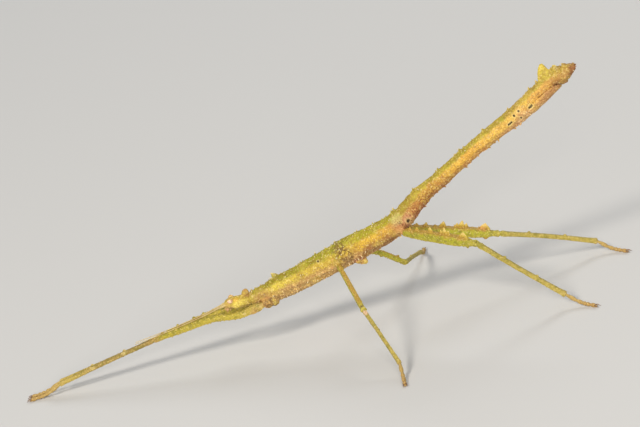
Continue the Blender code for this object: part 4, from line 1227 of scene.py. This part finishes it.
# A ridge on either side of the keel, and one below the rim
relief += 0.04 * dent(np.abs(swing) - 24, 5) + 0.05 * dent(upwards + 0.8, 0.12)
places += outward * relief[:, None]
plate = make_piece("tail_plate", places, faces.tolist(), {
    "along": along, "lift": np.abs(swing) / 90 - 1, "around": swing / 360 + 0.5, "tip": 0 * along,
    "hip": 0 * along, "grainy": np.where(np.abs(swing) < 70, 0.8, 0.3)})
plate_finish = Finish("tail_plate", Specular_IOR_Level=0.25)
edge = plate_finish.between(plate_finish.mark("lift"), -0.75, -0.95)
colour = plate_finish.mix(edge * 0.5, body_colour(plate_finish), PLATE_RIM)
fine = plate_finish.cloud(0.12, 3.0) - 0.8 * plate_finish.cells(0.25)
plate.data.materials.append(plate_finish.cover(colour, 0.5 + 0.2 * plate_finish.cloud(0.4),
                                               plate_finish.bump(fine, 0.04)))
plate_grains = strew(plate, "plate_grains", grain_shape, PLATE_GRAINS, 8, "grainy", body_grain_paint,
                     "along", BODY_LENGTH)
settle(plate, "tail", "operculum")
settle(plate_grains, "tail")

# Legs
# Each leg is a femur with sharp keels and flat teeth, a thin straight tibia and a foot of
# five links with soft pads below, all of the same hard grainy skin as the body.

LEG_VOXEL = 0.064
LEG_AROUND = 40
ANKLE_HEIGHT = 1.9
TOE_HEIGHT = 0.26
FOOT_SAG = 0.42
# Length of each part, half depth of the femur at its hip, middle and knee and of the tibia,
# and how far in degrees the upper teeth turn outwards.
LEGS = {
    "fore": {"tibia": 19.0, "foot": 6.1, "femur_depth": (0.42, 0.6, 0.46),
             "tibia_depth": 0.37, "turn": 30.0},
    "mid": {"femur": 13.1, "tibia": 12.0, "foot": 5.2, "femur_depth": (0.45, 0.52, 0.5),
            "tibia_depth": 0.38, "turn": 0.0},
    "hind": {"femur": 15.65, "tibia": 16.9, "foot": 5.9, "femur_depth": (0.66, 0.9, 0.55),
             "tibia_depth": 0.45, "turn": 0.0},
}
# How far the skin lies inside the solids, the share of a tibia's half depth at its two ends
# and in its middle, and the share of a femur's that its root has.
LEG_INSET = 0.02
TIBIA_SWELL = (1.1, 0.95, 1.1)
FEMUR_ROOT = 0.92
# Bumps and dents along femur and tibia: place, width and height. All knees are rimmed, and a
# front femur is thick near the hip. Those of a tibia are shares of its thickness.
KNEE_BUMPS = ((0.985, 0.022, 0.06), (0.93, 0.02, -0.05))
FEMUR_BUMPS = {
    "fore": ((0.08, 0.07, 0.34), (0.22, 0.08, 0.12), *KNEE_BUMPS),
    "mid": KNEE_BUMPS,
    "hind": ((0.72, 0.14, 0.1), (0.95, 0.05, -0.08), *KNEE_BUMPS),
}
TIBIA_BUMPS = ((0.0, 0.02, -0.22), (0.045, 0.02, 0.1), (0.985, 0.02, 0.12))
# The front legs reach forwards past the head, through these places; one is held a little
# higher than the other.
FORE_FEMUR = ((-18.3, 1.4, 7.25), (-23.0, 1.08, 7.5), (-27.2, 0.8, 6.9))
FORE_KNEE = (-33.9, 0.55, 5.75)
FORE_STAGGER = 0.17
# Headings in degrees seen from above, the rise of the femur, and how far femur and tibia bow
# upwards.
POSE = {
    ("fore", "left"): {"tibia": 180.0, "foot": 181.0, "bow": (0.0, 0.05)},
    ("fore", "right"): {"tibia": 180.0, "foot": 179.0, "bow": (0.0, 0.05)},
    ("mid", "left"): {"femur": -71.1, "rise": -17.5, "tibia": -62.0, "foot": -82.0, "bow": (0.0, 0.1)},
    ("mid", "right"): {"femur": 34.2, "rise": -32.4, "tibia": 84.0, "foot": 90.0, "bow": (1.1, 0.1)},
    ("hind", "left"): {"femur": -37.2, "rise": -3.9, "tibia": -1.0, "foot": -36.0, "bow": (0.0, -0.1)},
    ("hind", "right"): {"femur": 8.9, "rise": -21.2, "tibia": 10.5, "foot": -34.0, "bow": (-0.1, 0.2)},
}
# Flat teeth: share of the length, height and length of the base.
TEETH = {
    "fore": {
        "upper": ((0.4, 0.35, 0.8), (0.5, 0.38, 0.8), (0.6, 0.4, 0.9), (0.71, 0.42, 0.9),
                  (0.84, 0.4, 0.8), (0.95, 0.36, 0.7)),
        "lower": (),
        "tibia": ((0.33, 0.32, 0.9), (0.66, 0.3, 0.8)),
    },
    "mid": {
        "upper": ((0.2, 0.42, 0.8), (0.5, 0.3, 0.7), (0.86, 0.36, 0.8)),
        "lower": ((0.62, 0.26, 0.7),),
        "tibia": ((0.4, 0.26, 0.7),),
    },
    "hind": {
        "upper": ((0.1, 0.5, 0.8), (0.205, 0.72, 0.9), (0.3, 0.36, 0.7), (0.39, 1.0, 1.4),
                  (0.54, 0.85, 0.9), (0.59, 1.4, 1.3), (0.64, 0.9, 0.9), (0.84, 1.1, 2.2)),
        "lower": ((0.6, 0.35, 1.2), (0.86, 0.5, 1.3)),
        "tibia": ((0.3, 0.36, 0.8), (0.67, 0.32, 0.8)),
    },
}
TOOTH_THICKNESS = 0.36
# Small teeth: height, length and thickness; where they lean to, in radians from the top; how
# many there are on each keel of a femur or tibia and their size; and the share left out.
SMALL_TOOTH = (0.22, 0.34, 0.2)
SMALL_LEANS = (0.65, -0.65, math.pi - 0.6, math.pi + 0.6)
SMALL_TEETH = {"femur": (20, 1.0), "tibia": (15, 0.45)}
SMALL_MISSING = 0.3
# Keels: angles round the limb, and share of its thickness and width in degrees.
KEEL_ANGLES = (50, 130, 222, 318)
KEEL_HEIGHT = (0.24, 11.0)
# Where each link of the foot ends, as a share of the foot.
FOOT_LINKS = (0.0, 0.34, 0.53, 0.67, 0.78, 1.0)
FOOT_THICK = 0.35
FOOT_THIN = 0.22
TOE_ROUND = (0.95, 0.85, 0.65, 0.4)
LEG_LUMPS = (0.9, 0.022)
LEG_GRAIN = (0.3, 0.03)
# Grains of the legs as those of the body, and the height below which there are none.
LEG_GRAINS = (0.15, 16.0, 0.03, 0.1)
GRAIN_FLOOR = 0.3


def through(points, count):
    """Points and directions on a smooth curve through all the given points."""
    points = [np.array(p, float) for p in points]
    turns = [points[1] - points[0], *(b - a for a, b in zip(points, points[2:])), points[-1] - points[-2]]
    turns = [unit(way) for way in turns]
    spans = len(points) - 1
    places, directions = [], []
    for i in range(spans):
        shares = np.linspace(0, 1, count // spans + 1)[:None if i == spans - 1 else -1]
        place, way = curve(points[i], points[i + 1], turns[i], turns[i + 1], shares)
        places.append(place)
        directions.append(way)
    return np.concatenate(places), np.concatenate(directions)


def bowed(start, end, bow, count):
    """Points and directions from start to end, bowed upwards in the middle."""
    way = unit(end - start)
    above = np.cross(level_across(way), way)
    return through((start, (start + end) / 2 + above * bow, end), count)


def keeled(half, around, keels, tall, wide, rough):
    """Ring outlines with sharp keels at some angles; each keel's height varies by rough."""
    angle = 2 * np.pi * np.arange(around) / around
    factor = np.full((len(half), around), 0.9)
    for number, keel in enumerate(keels):
        gap = (np.degrees(angle) - keel + 180) % 360 - 180
        factor += tall * rough[:, number, None] * dent(gap, wide)[None]
    radius = half[:, None] * factor
    return np.stack([0.9 * radius * np.cos(angle)[None], radius * np.sin(angle)[None]], 2)


def uneven_keels(shares, amount, seed):
    """How high each of the four keels is, about 1, at shares of a limb."""
    return np.array([[1 + amount * noise.noise(Vector((share * 30, keel * 7, seed))) for keel in range(4)]
                     for share in shares])


def edge_at(line, place):
    """The point number at a share of a limb, and the ways along, across and above it there."""
    at = int(place * (len(line[0]) - 1))
    way = line[1][at]
    across = level_across(way)
    return at, way, across, np.cross(across, way)


def flat_teeth(line, half_line, rows, direction, turned, dice):
    """Flat teeth along one edge of a limb, with small ones strewn round their roots."""
    teeth = []
    for place, tall, base in rows:
        at, way, across, above = edge_at(line, place)
        thick = TOOTH_THICKNESS
        above = above * direction * math.cos(turned) + np.array((0, 1, 0)) * math.sin(turned)
        root = line[0][at] + above * half_line[at] * 0.93
        teeth.append(spike(root, above, way, tall, base, thick, 0.12 * tall, 0.25, 0.02, 7, 12, 1.5))
        for _ in range(round(tall * 4)):
            beside = way * base * dice.uniform(-0.45, 0.45) + across * thick * dice.uniform(-0.5, 0.5)
            pointing = above + way * dice.uniform(-0.5, 0.5) + across * dice.uniform(-0.7, 0.7)
            teeth.append(spike(root + beside, pointing, way, tall * dice.uniform(0.35, 0.75),
                               0.3, 0.22, 0.05, 0.3, 0.02, 6, 8))
    return teeth


def small_teeth(line, half_line, count, scale, dice):
    """Rows of small teeth along the four keels of a limb, with some left out."""
    tall, base, thick = SMALL_TOOTH
    teeth = []
    for lean in SMALL_LEANS:
        for k in range(count):
            if dice.random() < SMALL_MISSING:
                continue
            place = (k + dice.uniform(0.2, 0.8)) / count * 0.9 + 0.05
            at, way, across, above = edge_at(line, place)
            above = above * math.cos(lean) + across * math.sin(lean)
            teeth.append(spike(line[0][at] + above * half_line[at] * 0.9, above, way,
                               scale * tall * dice.uniform(0.7, 1.4), base, thick, 0.1, 0.2, 0.1, 5, 8))
    return teeth


# Colours, from the hip at 0, over the knee at 1 and the ankle at 2, to the claws.
FORE_LEG = ((0.0, (0.52, 0.35, 0.10)), (0.03, (0.50, 0.38, 0.07)), (0.1, (0.50, 0.40, 0.05)),
            (0.30, (0.46, 0.38, 0.04)), (0.333, (0.44, 0.28, 0.08)), (0.37, (0.32, 0.22, 0.06)),
            (0.52, (0.40, 0.28, 0.08)), (0.64, (0.52, 0.39, 0.09)), (0.70, (0.52, 0.36, 0.11)),
            (1.0, (0.46, 0.29, 0.09)))
HIND_LEG = ((0.0, (0.40, 0.38, 0.03)), (0.28, (0.43, 0.41, 0.03)), (0.333, (0.50, 0.42, 0.06)),
            (0.38, (0.44, 0.35, 0.07)), (0.64, (0.50, 0.39, 0.08)), (0.70, (0.50, 0.34, 0.10)),
            (1.0, (0.46, 0.28, 0.09)))
OLIVE = (0.20, 0.19, 0.02)
GOLD = (0.54, 0.38, 0.05)
AMBER = (0.50, 0.26, 0.05)
# Places with a colour of their own, as on the body.
LEG_PATCHES = (
    ((25.1, 3.7, 10.6), 0.3, 1.1, ORANGE, 0.8),
    ((24.9, 3.7, 8.3), 0.2, 0.9, ORANGE, 0.7),
    ((4.7, 13.9, 9.1), 0.1, 0.5, BROWN, 0.8),
    ((5.1, 15.1, 8.4), 0.2, 0.8, (0.78, 0.50, 0.34), 0.8),
    ((-17.2, 1.9, 7.4), 0.1, 0.4, CREAM, 0.7),
    ((-15.4, 1.8, 7.4), 0.3, 1.2, PINK, 0.4),
    ((-39.9, 0.9, 5.1), 0.2, 0.7, CREAM, 0.6),
    ((-46.0, 0.9, 3.7), 0.2, 0.7, CREAM, 0.6),
)


def leg_colour(finish):
    """The markings of the legs, from the broad bands to the smallest flecks, with painted shade in the
    grooves between the grains.
    """
    share = finish.mark("share") * (1 / 3)
    pair = finish.between(finish.mark("pair"), 0.0, 1.0)
    colour = finish.mix(pair, finish.ramp(share, FORE_LEG), finish.ramp(share, HIND_LEG))
    olive = finish.between(finish.cloud(0.7, 4.0), 0.5, 0.6) * finish.between(share, 0.72, 0.6)
    colour = finish.mix(olive * 0.55, colour, OLIVE)
    under = finish.between(finish.mark("lift") + finish.cloud(0.9) * 0.4, 0.15, -0.35)
    colour = finish.mix(under * finish.between(share, 0.36, 0.3) * 0.35, colour, GOLD)
    edge = finish.between(finish.mark("lift") + finish.cloud(0.8, 3.0) * 0.9, 0.75, 1.15)
    colour = finish.mix(edge * finish.between(share, 0.32, 0.28) * pair * 0.7, colour, AMBER)
    for centre, inner, outer, tint, strength in LEG_PATCHES:
        colour = finish.mix(finish.near(centre, inner, outer) * strength, colour, tint)
    fleck = finish.between(finish.cloud(0.3, 2.0), 0.56, 0.68)
    colour = finish.mix(fleck * 0.45, colour, CREAM)
    # Brown in the grooves of the bump between the grains: partly dark specks of the skin, partly painted
    # shade in the grooves.
    gaps = finish.between(finish.cells(0.24), 0.36, 0.66)
    colour = finish.mix(gaps * 0.3, colour, BROWN)
    colour = finish.mix(finish.between(finish.mark("tip"), 0.15, 0.6) * 0.3, colour, LEMON)
    return finish.mix(finish.between(finish.mark("tip"), 0.75, 1.0) * 0.4, colour, CREAM)


leg_pieces = []
claw_roots = []
for number, ((leg, side), pose) in enumerate(POSE.items()):
    dice = random.Random(40 + number)
    sizes = LEGS[leg]
    sign = SIDES[side]
    hip = hip_place(leg, side)
    if leg == "fore":
        knee = mirrored(FORE_KNEE, sign) - (0, 0, FORE_STAGGER * sign)
        femur = through([hip, *(mirrored(p, sign) for p in FORE_FEMUR), knee], 160)
    else:
        knee = hip + heading(pose["femur"], pose["rise"]) * sizes["femur"]
        femur = bowed(hip, knee, pose["bow"][0], 120)
    drop = math.degrees(math.asin((ANKLE_HEIGHT - knee[2]) / sizes["tibia"]))
    ankle = knee + heading(pose["tibia"], drop) * sizes["tibia"]
    drop = math.degrees(math.asin((TOE_HEIGHT - ankle[2]) / sizes["foot"]))
    toe = ankle + heading(pose["foot"], drop) * sizes["foot"]
    tibia = bowed(knee, ankle, pose["bow"][1], 120)
    foot = through((ankle, (ankle + toe) / 2 - (0, 0, FOOT_SAG), toe), 80)

    # Femur, with a ball at its root and at either side of the knee
    share = np.linspace(0, 1, len(femur[0]))
    half = swell(*sizes["femur_depth"], share) - LEG_INSET
    half *= FEMUR_ROOT + (1 - FEMUR_ROOT) * step_up(share, 0.0, 0.04)
    half += bumps(share, FEMUR_BUMPS[leg])
    rough = uneven_keels(share, 0.5, number)
    shapes = [tube(*femur, keeled(half, LEG_AROUND, KEEL_ANGLES, *KEEL_HEIGHT, rough))]
    knee_across = level_across(femur[1][-1])
    shapes.append(ball(femur[0][len(femur[0]) // 10] + (0, 0, 0.08), (0.52, 0.5, 0.46), 14, 8))
    for flank in (-1, 1):
        shapes.append(ball(femur[0][-1] + knee_across * flank * 0.24 * sizes["femur_depth"][2] / 0.46,
                           (0.3, 0.2, 0.32), 12, 8))

    # Tibia, narrowed at the knee and rimmed at both ends
    share = np.linspace(0, 1, len(tibia[0]))
    half_tibia = sizes["tibia_depth"] * swell(*TIBIA_SWELL, share) - LEG_INSET
    half_tibia *= 1 + bumps(share, TIBIA_BUMPS)
    rough = uneven_keels(share, 0.2, number + 9)
    shapes.append(tube(*tibia, keeled(half_tibia, LEG_AROUND, KEEL_ANGLES, *KEEL_HEIGHT, rough)))

    # Foot: five links, each thickest near its end, with a soft pad below
    share = np.linspace(0, 1, len(foot[0]))
    half_foot = np.full(len(share), FOOT_THIN)
    for start, stop in zip(FOOT_LINKS, FOOT_LINKS[1:]):
        inside = (share >= start) & (share <= stop)
        link = (share[inside] - start) / (stop - start)
        half_foot[inside] += (FOOT_THICK - FOOT_THIN) * np.sin(np.pi * np.clip(link, 0, 1) ** 1.7)
    half_foot[-len(TOE_ROUND):] *= TOE_ROUND
    shapes.append(tube(*foot, oval(half_foot, half_foot, half_foot, 24)))
    for stop in FOOT_LINKS[1:-1]:
        step = int(stop * (len(share) - 1)) - 2
        pad = foot[0][step].copy()
        pad[2] = max(pad[2] - 0.16, 0.14)
        shapes.append(ball(pad, (0.26, 0.26, 0.18), 14, 8))
    toe_way = foot[1][-1]
    shapes.append(ball((*(toe + toe_way * 0.05)[:2], 0.17), (0.24, 0.24, 0.19), 14, 8))

    turned = math.radians(sizes["turn"]) * sign
    for edge, line, half_line, direction in (("upper", femur, half, 1), ("lower", femur, half, -1),
                                             ("tibia", tibia, half_tibia, 1)):
        shapes += flat_teeth(line, half_line, TEETH[leg][edge], direction,
                             turned if direction > 0 else 0, dice)
    for limb, line, half_line in (("femur", femur, half), ("tibia", tibia, half_tibia)):
        shapes += small_teeth(line, half_line, *SMALL_TEETH[limb], dice)
    places, outward, faces = fuse(shapes, LEG_VOXEL, 1)
    stations = [femur[0][:-1], tibia[0][:-1], foot[0]]
    directions = [femur[1][:-1], tibia[1][:-1], foot[1]]
    thickness = np.concatenate([half[:-1], half_tibia[:-1], half_foot])
    limb_line = Line(np.concatenate(stations), np.concatenate(directions),
                     np.stack([thickness] * 3, 1))
    along, sideways, upwards, index = limb_line.read(places)
    knee_at = limb_line.along[len(femur[0]) - 1]
    ankle_at = limb_line.along[len(femur[0]) + len(tibia[0]) - 2]
    share = np.interp(along, (0, knee_at, ankle_at, limb_line.along[-1]), (0, 1, 2, 3))
    lift = np.arctan2(upwards, np.abs(sideways)) / (np.pi / 2)
    girth = np.hypot(sideways, upwards)
    tip = np.clip((girth - limb_line.sizes[index, 1] - 0.08) / 0.5, 0, 1)
    relief = (LEG_LUMPS[1] * noises(places, LEG_LUMPS[0], 11 + number)
              + LEG_GRAIN[1] * grains(places, LEG_GRAIN[0], 12) * (share < 2))
    places += outward * relief[:, None]
    places[:, 2] = np.maximum(places[:, 2], 0.0)
    leg_pieces.append(make_piece(f"leg_{leg}_{side}", places, faces.tolist(), {
        "share": share, "lift": lift, "around": np.arctan2(upwards, -sideways) / (2 * np.pi),
        "tip": tip, "pair": np.full(len(places), float(list(LEGS).index(leg)))}))
    claw_roots.append((toe, toe_way))

leg_finish = Finish("legs", Specular_IOR_Level=0.25)
fine = leg_finish.cloud(0.1, 3.0) - 0.8 * leg_finish.cells(0.24)
leg_paint = leg_finish.cover(leg_colour(leg_finish), 0.42 + 0.3 * leg_finish.cloud(0.5),
                             leg_finish.bump(fine, 0.045))
leg_grain_paint = stud_paint("leg_grains", leg_colour, "tone", 0.5, 1.0, 0.4, CREAM)
for number, (piece, (leg, side)) in enumerate(zip(leg_pieces, POSE)):
    share = read_mark(piece.data, "share")
    low = np.empty(len(piece.data.vertices) * 3, np.float32)
    piece.data.vertices.foreach_get("co", low)
    # Fewer grains stand on shin and foot, and none where the foot touches the ground.
    write_mark(piece.data, "grainy",
               np.interp(share, (0.9, 1.1, 1.9, 2.1), (0.8, 0.4, 0.4, 0.2)) * (low[2::3] > GRAIN_FLOOR))
    piece.data.materials.append(leg_paint)
    leg_grains = strew(piece, f"grains_{leg}_{side}", grain_shape, LEG_GRAINS, 20 + number, "grainy",
                       leg_grain_paint, "share", 3.0)
    settle(piece, "leg", *(f"{part}_{leg}_{side}" for part in ("femur", "tibia", "tarsus")))
    settle(leg_grains, "leg")
bpy.data.objects.remove(grain_shape)

# Claws
# Two hard, dark, curved claws of horn-like matter end each foot, hinged on either side of
# the soft pad of its last link.

# Length, and half thickness at the root and the tip; then where the root is: behind the end
# of the toe, to the side and above it.
CLAW = (0.85, 0.13, 0.03)
CLAW_ROOT = (0.12, 0.1, 0.1)
CLAW_COLOURS = ((0.30, 0.16, 0.07), (0.12, 0.06, 0.03))
claw_shapes = []
for toe, way in claw_roots:
    flat = unit((way[0], way[1], 0.0))
    across = np.cross(flat, (0, 0, 1))
    length, thick, thin = CLAW
    for sign in SIDES.values():
        share = np.linspace(0, 1, 12)[:, None]
        root = toe - flat * CLAW_ROOT[0] + across * sign * CLAW_ROOT[1] + (0, 0, CLAW_ROOT[2])
        spots = (root + flat * (length * share) + across * sign * (0.5 * share * (1.35 - share))
                 + np.array((0, 0, 1)) * (0.16 * share - 0.34 * share**2))
        ways = unit(np.gradient(spots, axis=0))
        girth = thick + (thin - thick) * share[:, 0] ** 0.8
        claw_shapes.append(tube(spots, ways, oval(girth, girth, girth, 10)))
claws = make_piece("claws", *join(claw_shapes), {})
claw_finish = Finish("claws", 0.3, Coat_Weight=0.3)
claws.data.materials.append(claw_finish.cover(claw_finish.mix(claw_finish.cloud(0.3), *CLAW_COLOURS)))
settle(claws, "foot")

# Eyes
# Smooth, moist domes of many tiny facets, pale pinkish with dark flecks and tan above. Each
# is set in a raised rim of the head.

EYE_HALF = (0.49, 0.38, 0.45)
EYE_COLOURS = ((0.88, 0.60, 0.40), (0.66, 0.36, 0.20))
EYE_FLECK = (0.28, 0.08, 0.04)
EYE_TOP = (0.60, 0.38, 0.08)

eye_finish = Finish("eyes", 0.22, Coat_Weight=0.5)
colour = eye_finish.mix(eye_finish.between(eye_finish.cloud(0.25, 2.0), 0.45, 0.62), *EYE_COLOURS)
fleck = eye_finish.between(eye_finish.cloud(0.09, 1.0), 0.6, 0.7)
colour = eye_finish.mix(fleck * 0.7, colour, EYE_FLECK)
height = Amount(eye_finish, eye_finish.node("ShaderNodeSeparateXYZ", Vector=eye_finish.place)["Z"])
top = eye_finish.between(height, EYE[2] + 0.14, EYE[2] + 0.34)
colour = eye_finish.mix(top * 0.85, colour, EYE_TOP)
eye_paint = eye_finish.cover(colour, None, eye_finish.bump(eye_finish.cells(0.035), 0.006))
for side, sign in SIDES.items():
    places, faces = ball(mirrored(EYE, sign), EYE_HALF, 48, 32)
    eye = make_piece(f"eye_dome_{side}", places, faces, {})
    eye.data.materials.append(eye_paint)
    settle(eye, "eye", f"eye_{side}")

# Mouthparts
# Upper lip with a notch, two toothed jaws behind it, and two pairs of jointed feelers of
# the mouth, which hang below the front of the head.

# Upper lip and jaw: place and half sizes, on both sides alike.
MOUTH_LUMPS = (((-20.48, 0.2, 8.55), (0.17, 0.26, 0.34)), ((-20.15, 0.3, 8.32), (0.36, 0.24, 0.32)))
# Feelers of the mouth: root, the two directions that they take, length and half thickness.
PALPS = (
    ((-19.95, 0.34, 8.4), ((-0.3, 0.22, -0.5), (-0.3, 0.05, -0.75)), 0.7, 0.1),
    ((-19.65, 0.2, 8.3), ((-0.1, 0.1, -0.5), (0.1, 0.05, -0.75)), 0.45, 0.085),
)
MOUTH_COLOURS = ((0.62, 0.38, 0.16), (0.42, 0.20, 0.08))
mouth_shapes = []
for sign in SIDES.values():
    mouth_shapes += [ball(mirrored(place, sign), radii) for place, radii in MOUTH_LUMPS]
    for root, bends, length, girth in PALPS:
        root = mirrored(root, sign)
        spots = [root]
        for bend in bends:
            spots.append(spots[-1] + unit(mirrored(bend, sign)) * length / 2)
        line, ways = through(spots, 40)
        share = np.linspace(0, 1, len(line))
        half = girth * (1 - 0.25 * share) * (0.8 + 0.35 * np.abs(np.sin(share * np.pi * 4)))
        half[-3:] *= (0.9, 0.7, 0.4)
        mouth_shapes.append(tube(line, ways, oval(half, half, half, 14)))
mouth = make_piece("mouthparts", *join(mouth_shapes), {})
mouth_finish = Finish("mouthparts", 0.42)
colour = mouth_finish.mix(mouth_finish.between(mouth_finish.cloud(0.4), 0.4, 0.6), *MOUTH_COLOURS)
mouth.data.materials.append(mouth_finish.cover(colour, None,
                                               mouth_finish.bump(mouth_finish.cloud(0.08), 0.01)))
settle(mouth, "head")

# Feelers
# Thin straw-coloured whips of short hard links on a thick first joint, drawn out forwards
# above the front legs and set in the front of the head.

FEELER_ROUTE = ((-24.3, 0.38, 8.15), (-29.0, 0.38, 7.22), (-33.5, 0.38, 6.45), (-37.5, 0.38, 5.9))
FEELER_LINKS = 46
# Lengths and half thicknesses of the first two links, lengths of the next and of the last,
# and how far each link overlaps the next.
FIRST_LENGTHS = (0.75, 0.34)
FIRST_HALVES = (0.25, 0.18)
LINK_LENGTHS = (0.22, 0.55)
LINK_OVERLAP = 1.04
# Half thickness where the even links begin and at the tip.
FEELER_HALF = (0.13, 0.055)
FEELER_COLOURS = ((0.60, 0.46, 0.18), (0.46, 0.31, 0.11))
# One link's rings, as shares of its length and thickness.
link_rings = np.array(((0.0, 0.72), (0.08, 0.88), (0.3, 0.94), (0.62, 1.0), (0.86, 1.08), (1.0, 0.8)))
link_points = np.stack([link_rings[:, 0], 0 * link_rings[:, 0], 0 * link_rings[:, 0]], 1)
link_ways = np.repeat([[1.0, 0, 0]], len(link_rings), 0)
link_shape = make_piece("feeler_link", *tube(link_points, link_ways, oval(*[link_rings[:, 1]] * 3, 12)), {})
links = Growth("feeler_links", {"Link": "Object", "Material": "Material"})
turn = links.node("FunctionNodeAlignRotationToVector", {"axis": "X"},
                  Vector=links.mark("way", "FLOAT_VECTOR"))["Rotation"]
radius = links.mark("half")
size = links.node("ShaderNodeCombineXYZ", X=links.mark("gap"), Y=radius, Z=radius)["Vector"]
link = links.node("GeometryNodeObjectInfo", Object=links.inputs["Link"])["Geometry"]
links.finish(links.node("GeometryNodeInstanceOnPoints", Points=links.inputs["Geometry"], Instance=link,
                        Rotation=turn, Scale=size)["Instances"])

feeler_finish = Finish("feelers", 0.5)
bands = feeler_finish.between(feeler_finish.cloud(2.2, 2.0, (1, 0.2, 0.2)), 0.4, 0.7)
fleck = feeler_finish.between(feeler_finish.cloud(0.15), 0.6, 0.7)
colour = feeler_finish.mix(fleck * 0.5, feeler_finish.mix(bands, *FEELER_COLOURS), CREAM)
feeler_paint = feeler_finish.cover(colour, None, feeler_finish.bump(feeler_finish.cloud(0.07), 0.01))

for side, sign in SIDES.items():
    end = mirrored(FEELER_JOINT[1], sign)
    start = end + (mirrored(FEELER_JOINT[0], sign) - end) * 0.48
    line, ways = through([start, end, *(mirrored(p, sign) for p in FEELER_ROUTE)], 400)
    far = np.concatenate([[0], np.cumsum(np.linalg.norm(np.diff(line, axis=0), axis=1))])
    lengths = np.concatenate([FIRST_LENGTHS, np.linspace(*LINK_LENGTHS, FEELER_LINKS)])
    lengths *= far[-1] / lengths.sum()
    starts = np.concatenate([[0], np.cumsum(lengths)[:-1]])
    share = np.linspace(0, 1, FEELER_LINKS)
    half = np.concatenate([FIRST_HALVES, FEELER_HALF[0] + (FEELER_HALF[1] - FEELER_HALF[0]) * share])
    points = bpy.data.meshes.new("feeler_points")
    points.from_pydata(np.stack([np.interp(starts, far, line[:, k]) for k in range(3)], 1), [], [])
    write_mark(points, "half", half)
    write_mark(points, "gap", lengths * LINK_OVERLAP)
    ends = np.minimum(starts + lengths, far[-1])
    chord = np.stack([np.interp(ends, far, line[:, k]) - np.interp(starts, far, line[:, k])
                      for k in range(3)], 1)
    layer = points.attributes.new("way", "FLOAT_VECTOR", "POINT")
    layer.data.foreach_set("vector", chord.astype(np.float32).ravel())
    carrier = add_to_scene("feeler_points", points)
    feeler = links.grow(carrier, f"feeler_{side}", {"Link": link_shape, "Material": feeler_paint})
    settle(feeler, "feeler", f"antenna_{side}")
    bpy.data.objects.remove(carrier)
bpy.data.objects.remove(link_shape)
